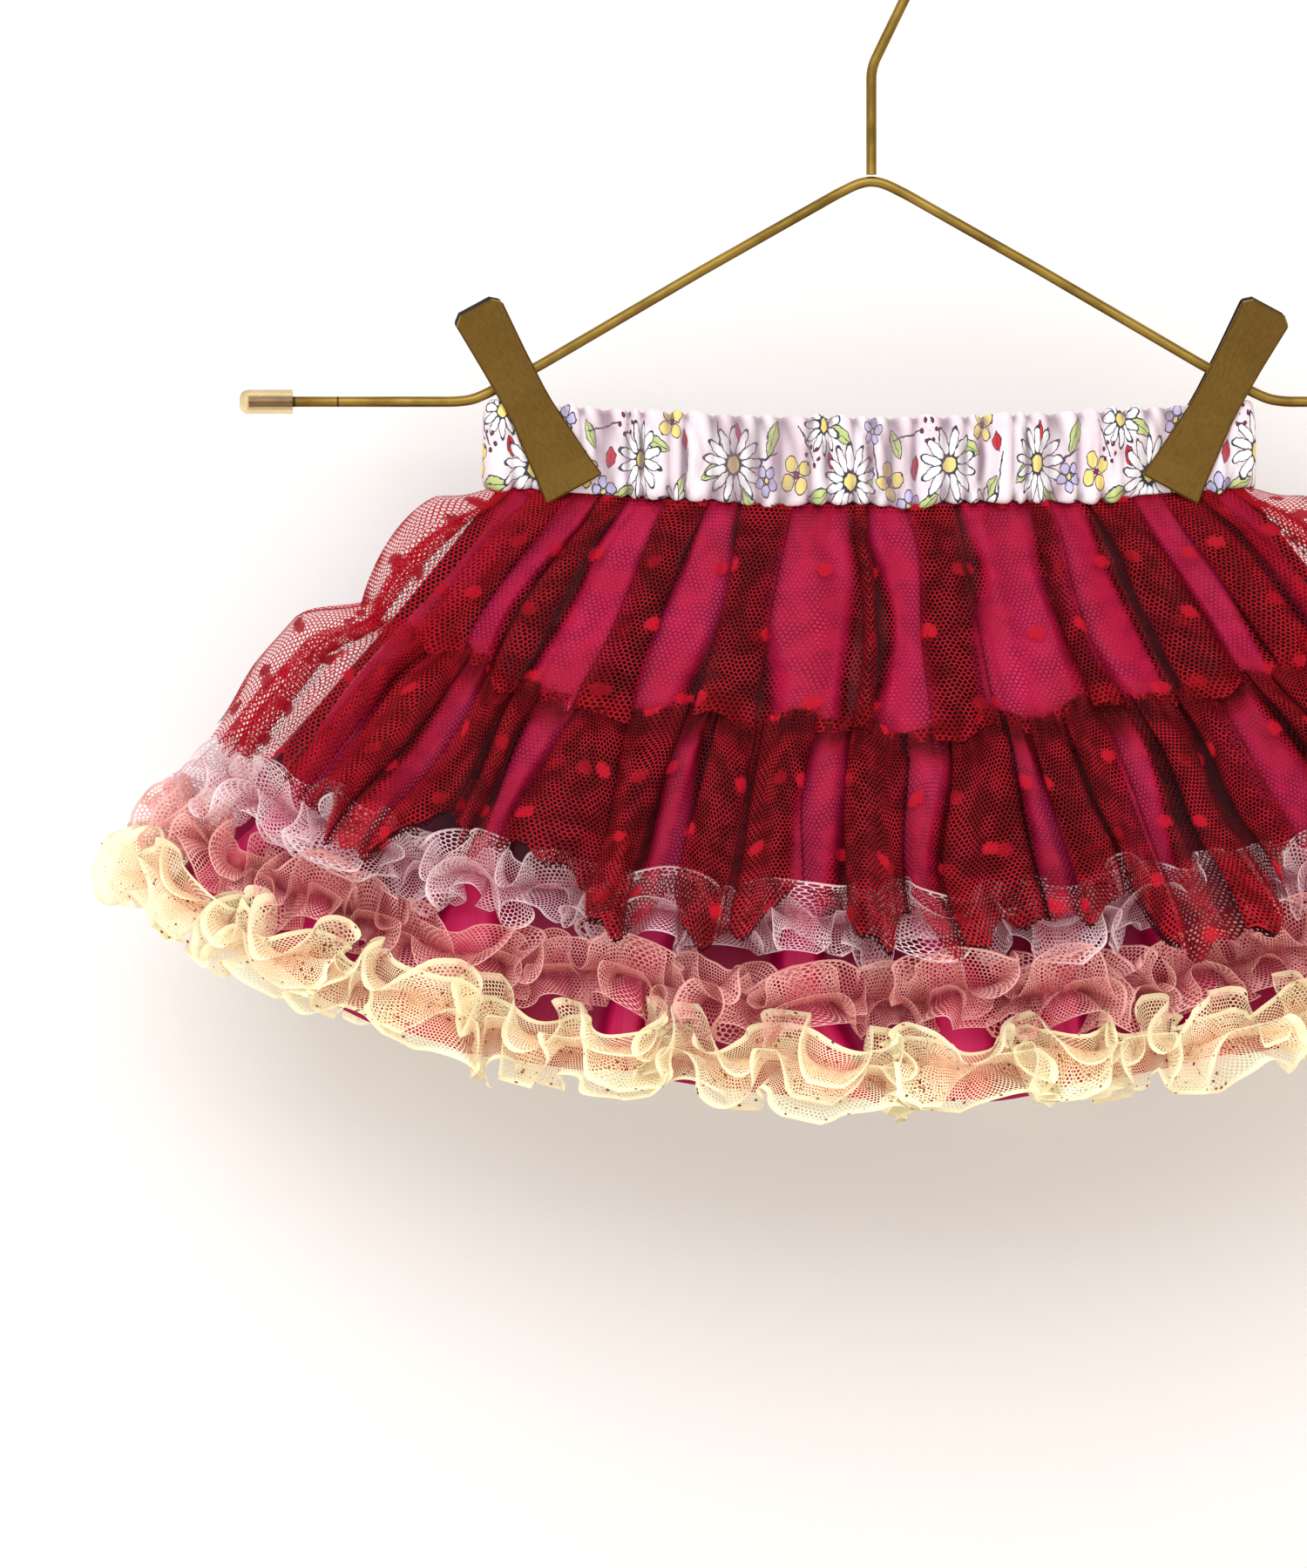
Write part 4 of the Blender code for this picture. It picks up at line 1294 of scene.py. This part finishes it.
# %% Print: the flower group
def make_flower_group():
    group, taken, given = new_group(
        "drawn_flower",
        MOTIF_INPUTS + (("Petals", "Float", 12.0), ("Reach", "Float", 0.37), ("Petal", "Color", None),
                        ("Heart", "Color", None), ("Heart Size", "Float", 0.24)),
        (("Colour", "Color"),))
    x, y = local_place(group, taken)
    reach = hypotenuse(group, x, y)
    petals_past = product(group, number(group, "ARCTAN2", y, x), taken["Petals"])
    share = number(group, "DIVIDE", petals_past, 2 * math.pi)
    off = number(group, "SUBTRACT", number(group, "FRACT", number(group, "ADD", share, 100.5)), 0.5)
    angle = number(group, "DIVIDE", product(group, off, 2 * math.pi), taken["Petals"])
    side = number(group, "DIVIDE", product(group, reach, number(group, "SINE", angle)), taken["Width"])
    far = product(group, reach, number(group, "COSINE", angle))
    middle = number(group, "SUBTRACT", 1.0, taken["Reach"])
    along = number(group, "DIVIDE", number(group, "SUBTRACT", far, middle), taken["Reach"])
    oval = hypotenuse(group, side, along)
    thick = number(group, "DIVIDE", LINE, product(group, taken["Size"], taken["Width"]))
    colour = painted(group, taken["Below"], step_between(group, oval, 0.97, 1.0, 1.0, 0.0), taken["Petal"],
                     stroke(group, apart(group, oval, 1.0), thick, 0.4, 0.9), taken["Ink"])
    inner = number(group, "SUBTRACT", taken["Heart Size"], 0.02)
    heart = step_between(group, reach, inner, taken["Heart Size"], 1.0, 0.0)
    rim_thick = number(group, "DIVIDE", LINE, taken["Size"])
    rim = stroke(group, apart(group, reach, taken["Heart Size"]), rim_thick, 0.4, 0.9)
    colour = painted(group, colour, heart, taken["Heart"], rim, taken["Ink"])
    group.links.new(colour, given["Colour"])
    return group


drawn_flower = make_flower_group()
print("group:", drawn_flower.name)


# %% Print: the leaf group
def make_leaf_group():
    group, taken, given = new_group("drawn_leaf", MOTIF_INPUTS + (("Fill", "Color", None),),
                                    (("Colour", "Color"),))
    x, y = local_place(group, taken)
    bulge = product(group, number(group, "SUBTRACT", 1.0, product(group, x, x)), taken["Width"])
    along, beside = number(group, "ABSOLUTE", x), number(group, "ABSOLUTE", y)
    gap = number(group, "SUBTRACT", beside, bulge)
    inside = number(group, "LESS_THAN", along, 1.04)
    thick = number(group, "DIVIDE", LINE, taken["Size"])
    fill = product(group, step_between(group, gap, -0.02, 0.0, 1.0, 0.0), inside)
    edge_line = stroke(group, number(group, "ABSOLUTE", gap), thick, 0.45, 1.0)
    vein = product(group, stroke(group, beside, thick, 0.3, 0.7), number(group, "LESS_THAN", along, 0.8))
    line = product(group, number(group, "MAXIMUM", edge_line, vein), inside)
    group.links.new(painted(group, taken["Below"], fill, taken["Fill"], line, taken["Ink"]), given["Colour"])
    return group


drawn_leaf = make_leaf_group()
print("group:", drawn_leaf.name)

# %% Print: the tile, in millimetres. Stems and leaves are painted first, then the flowers
INK = linear(54, 56, 72)
PALE_GREEN, WHITE, YELLOW = linear(198, 214, 140), linear(255, 253, 253), linear(246, 224, 134)
RED, LILAC, WINE = linear(216, 40, 44), linear(206, 200, 236), linear(150, 30, 52)
# (x, y, length, turn in degrees, width); a stem is a leaf of almost no width
GREEN_LEAVES = (
    (6, 40, 4.2, 35, 0.38), (17, 46, 3.6, -50, 0.42), (24, 32, 4.4, 70, 0.36), (38, 45, 4.0, 10, 0.40),
    (47, 31, 3.8, -30, 0.42), (56, 42, 4.4, 55, 0.36), (66, 33, 3.8, -65, 0.40), (76, 46, 4.2, 20, 0.38),
    (90, 34, 4.4, -20, 0.38), (98, 44, 3.8, 60, 0.40))
RED_BUDS = ((13, 31, 2.6, 95, 0.50), (43, 37, 2.4, 110, 0.55), (72, 38, 2.6, 80, 0.50),
            (100, 33, 2.4, 100, 0.55), (60, 49, 2.4, 60, 0.55))
STEMS = (
    (20, 37, 5.5, 20, 0.02), (28, 48, 5.0, -25, 0.02), (44, 47, 4.6, 65, 0.02), (59, 36, 5.2, -75, 0.02),
    (70, 31, 5.0, 15, 0.02), (88, 47, 5.4, -40, 0.02), (101, 40, 4.8, 80, 0.02), (34, 33, 4.6, -60, 0.02),
    (8, 33, 4.4, 100, 0.02))
LEAVES = [(*leaf, colour) for leaves, colour in ((GREEN_LEAVES, PALE_GREEN), (RED_BUDS, RED), (STEMS, WHITE))
          for leaf in leaves]


def daisy(petals, width, heart):
    return petals, width, 0.38, WHITE, YELLOW, heart


# (petals, petal width, petal reach, petal colour, heart colour, heart radius)
FOUR_PETALS = (4, 0.36, 0.40, YELLOW, WINE, 0.16)
FIVE_PETALS = (5, 0.34, 0.38, LILAC, YELLOW, 0.2)
BERRIES = (6, 0.16, 0.16, WINE, WHITE, 0.02)
# (x, y, radius, turn, kind)
FLOWERS = (
    (12, 38, 8.6, 0.1, daisy(13, 0.125, 0.22)), (31, 40, 4.6, 0.5, FOUR_PETALS),
    (50, 42, 9.2, 0.7, daisy(14, 0.120, 0.22)), (64, 41, 4.4, 0.2, FOUR_PETALS),
    (83, 38, 8.8, 0.3, daisy(12, 0.135, 0.23)), (22, 41, 3.4, 0.9, FIVE_PETALS),
    (70, 46, 3.6, 0.4, FIVE_PETALS), (40, 29, 6.6, 0.2, daisy(11, 0.14, 0.24)),
    (95, 29, 4.2, 0.6, FOUR_PETALS), (58, 30, 3.4, 0.1, FIVE_PETALS),
    (96, 49, 5.6, 0.8, daisy(10, 0.15, 0.24)), (3, 49, 2.6, 0.3, BERRIES),
    (36, 36, 2.6, 0.8, BERRIES), (77, 30, 2.8, 0.1, BERRIES))
print("motifs on a tile:", len(LEAVES) + len(FLOWERS))

# %% Print: the cloth's finish
TILE_LIFT = 7.0
FAR = 1000.0  # a tile is repeated round the band and never down it


def make_printed_cotton():
    material, tree, shader = new_material("printed_cotton", 0.8, Specular_IOR_Level=0.3)
    cut = cut_map(tree)
    where = vector(tree, "ADD", scaled(tree, cut, 1000.0 / PRINT_SCALE), (0.0, TILE_LIFT, 0.0))
    where = strayed(tree, where, noise_at(tree, where, 0.50), 1.4)
    where = vector(tree, "MODULO", vector(tree, "ADD", where, (4 * TILE, 0.0, 0.0)), (TILE, FAR, FAR))
    blush = step_between(tree, noise_at(tree, where, 0.12)[0], 0.35, 0.65)
    colour = mixed(tree, blush, linear(244, 234, 238), linear(241, 222, 230))
    for x, y, size, turn, width, fill in LEAVES:
        colour = place_group(tree, drawn_leaf, Below=colour, Where=where, Centre=(x, y, 0.0), Size=size,
                             Turn=math.radians(turn), Width=width, Fill=fill, Ink=INK)["Colour"]
    for x, y, size, turn, (petals, width, reach, petal, heart, heart_size) in FLOWERS:
        colour = place_group(tree, drawn_flower, Below=colour, Where=where, Centre=(x, y, 0.0), Size=size,
                             Turn=turn, Petals=petals, Width=width, Reach=reach, Petal=petal, Heart=heart,
                             Ink=INK, Heart_Size=heart_size)["Colour"]
    # In the grooves between the puckers the print is darkened towards grey mauve: painted shade.
    groove_shade = product(tree, attribute(tree, "hollow"), 0.80)
    paint(tree, shader, mixed(tree, groove_shade, colour, linear(126, 100, 112)))
    flat = vector(tree, "MULTIPLY", cut, (1.0, 1.0, 0.0))
    over, under = (add_node(tree, "ShaderNodeTexWave", flat, bands_direction=way) for way in "XY")
    for weave in (over, under):
        weave.inputs["Scale"].default_value = 620.0
    height = number(tree, "ADD", over.outputs["Fac"], under.outputs["Fac"])
    bump_from(tree, shader, height, 0.00008, 0.5)
    return material


printed_cotton = make_printed_cotton()
finish_cloth(waistband, printed_cotton, "waistband")

# %% [markdown]
# ## The hanger's wires
#
# The hanger is two bends of the same brass wire. The solid model's tubes are faceted, and could be
# shaded smooth, but their outline would still show corners. A wire is a path with a round section,
# which is just what Curve to Mesh in Geometry Nodes makes, so both are made anew with more sides.

# %% Wires: the tree
WIRE, WIRE_SIDES = 0.0030, 20


def make_wire_tree():
    tree, taken = new_tree("round_wire", (
        ("Geometry", "Geometry"), ("Radius", "Float"), ("Sides", "Int"), ("Finish", "Material")))
    circle = place_node(tree, "GeometryNodeCurvePrimitiveCircle", Resolution=taken["Sides"],
                        Radius=taken["Radius"])[0]
    line = place_node(tree, "GeometryNodeMeshToCurve", Mesh=taken["Geometry"])[0]
    tube = place_node(tree, "GeometryNodeCurveToMesh", Curve=line, Profile_Curve=circle, Fill_Caps=True)[0]
    return close_tree(tree, tube, taken["Finish"])


wire_tree = make_wire_tree()
print("tree:", wire_tree.name)

# %% [markdown]
# ## Brass
#
# The wire and the clips are steel with an antique brass finish: brown-olive, brushed, darker in
# patches, with paler metal where edges rub. Wire and plates could have a finish each, but then they
# drift apart in tone. One group makes the colour and the roughness from a place and a brushing
# direction, and both share it.


# %% Brass: the shared group
def make_brass_group():
    group, taken, given = new_group(
        "aged_brass",
        (("Place", "Vector", None), ("Brush", "Vector", None), ("Light", "Color", None),
         ("Dark", "Color", None), ("Rubbed", "Color", None), ("Wear", "Float", 0.0)),
        (("Colour", "Color"), ("Roughness", "Float"), ("Height", "Float")))
    brushed = noise_at(group, vector(group, "MULTIPLY", taken["Place"], taken["Brush"]), 1.0, 4.0)[0]
    patina = noise_at(group, taken["Place"], 45.0, 5.0)[0]
    share = number(group, "ADD", product(group, brushed, 0.55), product(group, patina, 0.45))
    colour = mixed(group, step_between(group, share, 0.30, 0.70), taken["Dark"], taken["Light"])
    colour = mixed(group, taken["Wear"], colour, taken["Rubbed"])
    group.links.new(colour, given["Colour"])
    group.links.new(step_between(group, share, 0.3, 0.7, 0.56, 0.42), given["Roughness"])
    group.links.new(brushed, given["Height"])
    return group


aged_brass = make_brass_group()
print("group:", aged_brass.name)


# %% Brass: the finishes
def make_brass(name, brush, light, dark, turn=0.0, rub=False, rings=()):
    """rub makes the edges of a plate paler. rings are dark marks round a wire, at distances from
    the middle."""
    material, tree, shader = new_material(name, 0.35, 1.0)
    place = object_place(tree)
    turned = add_node(tree, "ShaderNodeMapping", place)
    turned.inputs["Rotation"].default_value = (0.0, turn, 0.0)
    wear = 0.0
    if rub:
        outside = add_node(tree, "ShaderNodeNewGeometry").outputs["Normal"]
        across = parts_of(tree, outside)[1]
        flat = number(tree, "ABSOLUTE", across)
        wear = step_between(tree, flat, 0.50, 0.70, 0.7, 0.0)
    made = place_group(tree, aged_brass, Place=turned.outputs[0], Brush=brush, Light=light, Dark=dark,
                       Rubbed=linear(226, 200, 140), Wear=wear)
    colour = made["Colour"]
    for ring in rings:
        off = apart(tree, number(tree, "ABSOLUTE", parts_of(tree, place)[0]), ring)
        colour = mixed(tree, step_between(tree, off, 0.0002, 0.0004, 0.8, 0.0), colour, linear(40, 24, 14))
    paint(tree, shader, colour)
    tree.links.new(made["Roughness"], shader.inputs["Roughness"])
    bump_from(tree, shader, made["Height"], 0.00006, 0.5)
    if rub:
        # The solid plate has flat facets. Its broad face is bent towards one direction, so they don't show.
        outward = add_node(tree, "ShaderNodeCombineXYZ", 0.0, number(tree, "SIGN", across), 0.0).outputs[0]
        share = step_between(tree, flat, 0.80, 0.92, 0.0, 0.85)
        kept = scaled(tree, outside, number(tree, "SUBTRACT", 1.0, share))
        evened = vector(tree, "NORMALIZE", vector(tree, "ADD", kept, scaled(tree, outward, share)))
        tree.links.new(evened, tree.nodes["Bump"].inputs["Normal"])
    return material


wire_brass = make_brass("wire_brass", (90.0, 900.0, 90.0), linear(158, 130, 62), linear(102, 79, 34),
                        rings=(0.1530, 0.1655))
print("finish:", wire_brass.name)

# %% Wires: hook and arms
HOOK_RADIUS, HOOK_STEPS = 0.0200, 60
HOOK_LEAN, HOOK_PAST = math.radians(26), math.radians(202)
HOOK_BEND, BEND_BEFORE, BEND_STEPS, BEND_STEP = -0.0642, 0.0032, 9, 0.00072
ARM_APEX, STEM_GAP = -0.0969, 0.0003
ARM_BEND = 0.0022
ARM_PATH = ((0.0040, -0.0978), (0.0100, -0.1008), (0.0490, -0.1229), (0.0950, -0.1498), (0.1060, -0.1557),
            (0.1110, -0.1583), (0.1145, -0.1597), (0.1190, -0.1603), (0.1785, -0.1603))


def hook_points():
    centre = Vector((0, 0, WIRE / 2 - HOOK_RADIUS))
    points = [Vector((0, 0, ARM_APEX + WIRE / 2 + STEM_GAP)), Vector((0, 0, HOOK_BEND - BEND_BEFORE))]
    for step in range(1, BEND_STEPS):
        lean = HOOK_LEAN * step / BEND_STEPS
        points.append(points[-1] + Vector((math.sin(lean), 0, math.cos(lean))) * BEND_STEP)
    for step in range(HOOK_STEPS + 1):
        angle = -HOOK_LEAN + (HOOK_PAST + HOOK_LEAN) * step / HOOK_STEPS
        points.append(centre + Vector((math.cos(angle), 0, math.sin(angle))) * HOOK_RADIUS)
    return points


def arm_points():
    half = [Vector((x, 0, z)) for x, z in ARM_PATH]
    whole = [Vector((-p.x, 0, p.z)) for p in reversed(half)] + [Vector((0, 0, ARM_APEX))] + half
    soft = [whole[0]]
    for before, point, after in zip(whole, whole[1:], whole[2:]):
        reach = min(ARM_BEND, (point - before).length / 2.05, (after - point).length / 2.05)
        start = point + (before - point).normalized() * reach
        end = point + (after - point).normalized() * reach
        soft += [start.lerp(point, t).lerp(point.lerp(end, t), t) for t in (0.0, 0.25, 0.5, 0.75, 1.0)]
    return soft + [whole[-1]]


WIRES = (("hook_wire", hook_points(), "hanger_hook"), ("arm_wire", arm_points(), "hanger_arms"))
for name, points, node in WIRES:
    wire = grow(name, line_mesh(name + "_path", points), wire_tree, Radius=WIRE / 2, Sides=WIRE_SIDES,
                Finish=wire_brass)
    wire.data.shade_smooth()
    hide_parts(node)
    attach(wire, "root")
    print(name, "faces:", len(wire.data.polygons))

# %% [markdown]
# ## Clips and end sleeves
#
# Each clip is two pressed plates on a steel spring, and each end of the wire has a soft clear
# sleeve. They could be modelled again at a finer step, but the solid model already has their true
# shapes. So only finishes are added, and edges over 28 degrees are kept sharp.

# %% Clips and sleeves
CLIP_LEAN = math.radians(28.4)
SHARP_EDGE = math.radians(28)


def coat_node(node, material):
    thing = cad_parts[node]
    thing.data.materials.clear()
    thing.data.materials.append(material)
    thing.data.shade_smooth()
    thing.data.set_sharp_from_angle(angle=SHARP_EDGE)


def make_plain_metal(name, light, dark, roughness, scale):
    material, tree, shader = new_material(name, roughness, 1.0)
    bump_from(tree, shader, speckle(tree, shader, scale, dark, light), 0.00005, 0.4)
    return material


black_steel = make_plain_metal("blackened_steel", linear(60, 56, 50), linear(18, 17, 16), 0.45, 220.0)
spring_steel = make_plain_metal("spring_steel", linear(200, 198, 192), linear(120, 118, 112), 0.30, 900.0)
sleeve_vinyl, vinyl_tree, vinyl_shader = new_material("clear_sleeve", 0.15, Transmission_Weight=0.95, IOR=1.42)
speckle(vinyl_tree, vinyl_shader, 260.0, linear(214, 186, 122), linear(244, 228, 186))
for side, sign in (("left", -1), ("right", 1)):
    plate = make_brass("plate_brass_" + side, (1500.0, 500.0, 500.0), linear(108, 82, 38),
                       linear(96, 72, 31), turn=-sign * CLIP_LEAN, rub=True)
    coat_node("clip_" + side + "_front_jaw", plate)
    coat_node("clip_" + side + "_back_jaw", black_steel)
    coat_node("clip_" + side + "_spring", spring_steel)
    coat_node("end_sleeve_" + side, sleeve_vinyl)
print("clips and sleeves coated")

# %% [markdown]
# ## Measured against the solid
#
# The cloth on a real tutu stands off from any plain solid, so the dressed tutu is measured against
# the solid model, and how far its box grows past the solid's box is printed.

# %% Measure against the solid
seen_box = [list(corner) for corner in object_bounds()]
grown = [[round(1000 * (seen - solid), 1) for seen, solid in zip(*pair)] for pair in zip(seen_box, cad_box)]
print("grown, mm, low and high:", grown)
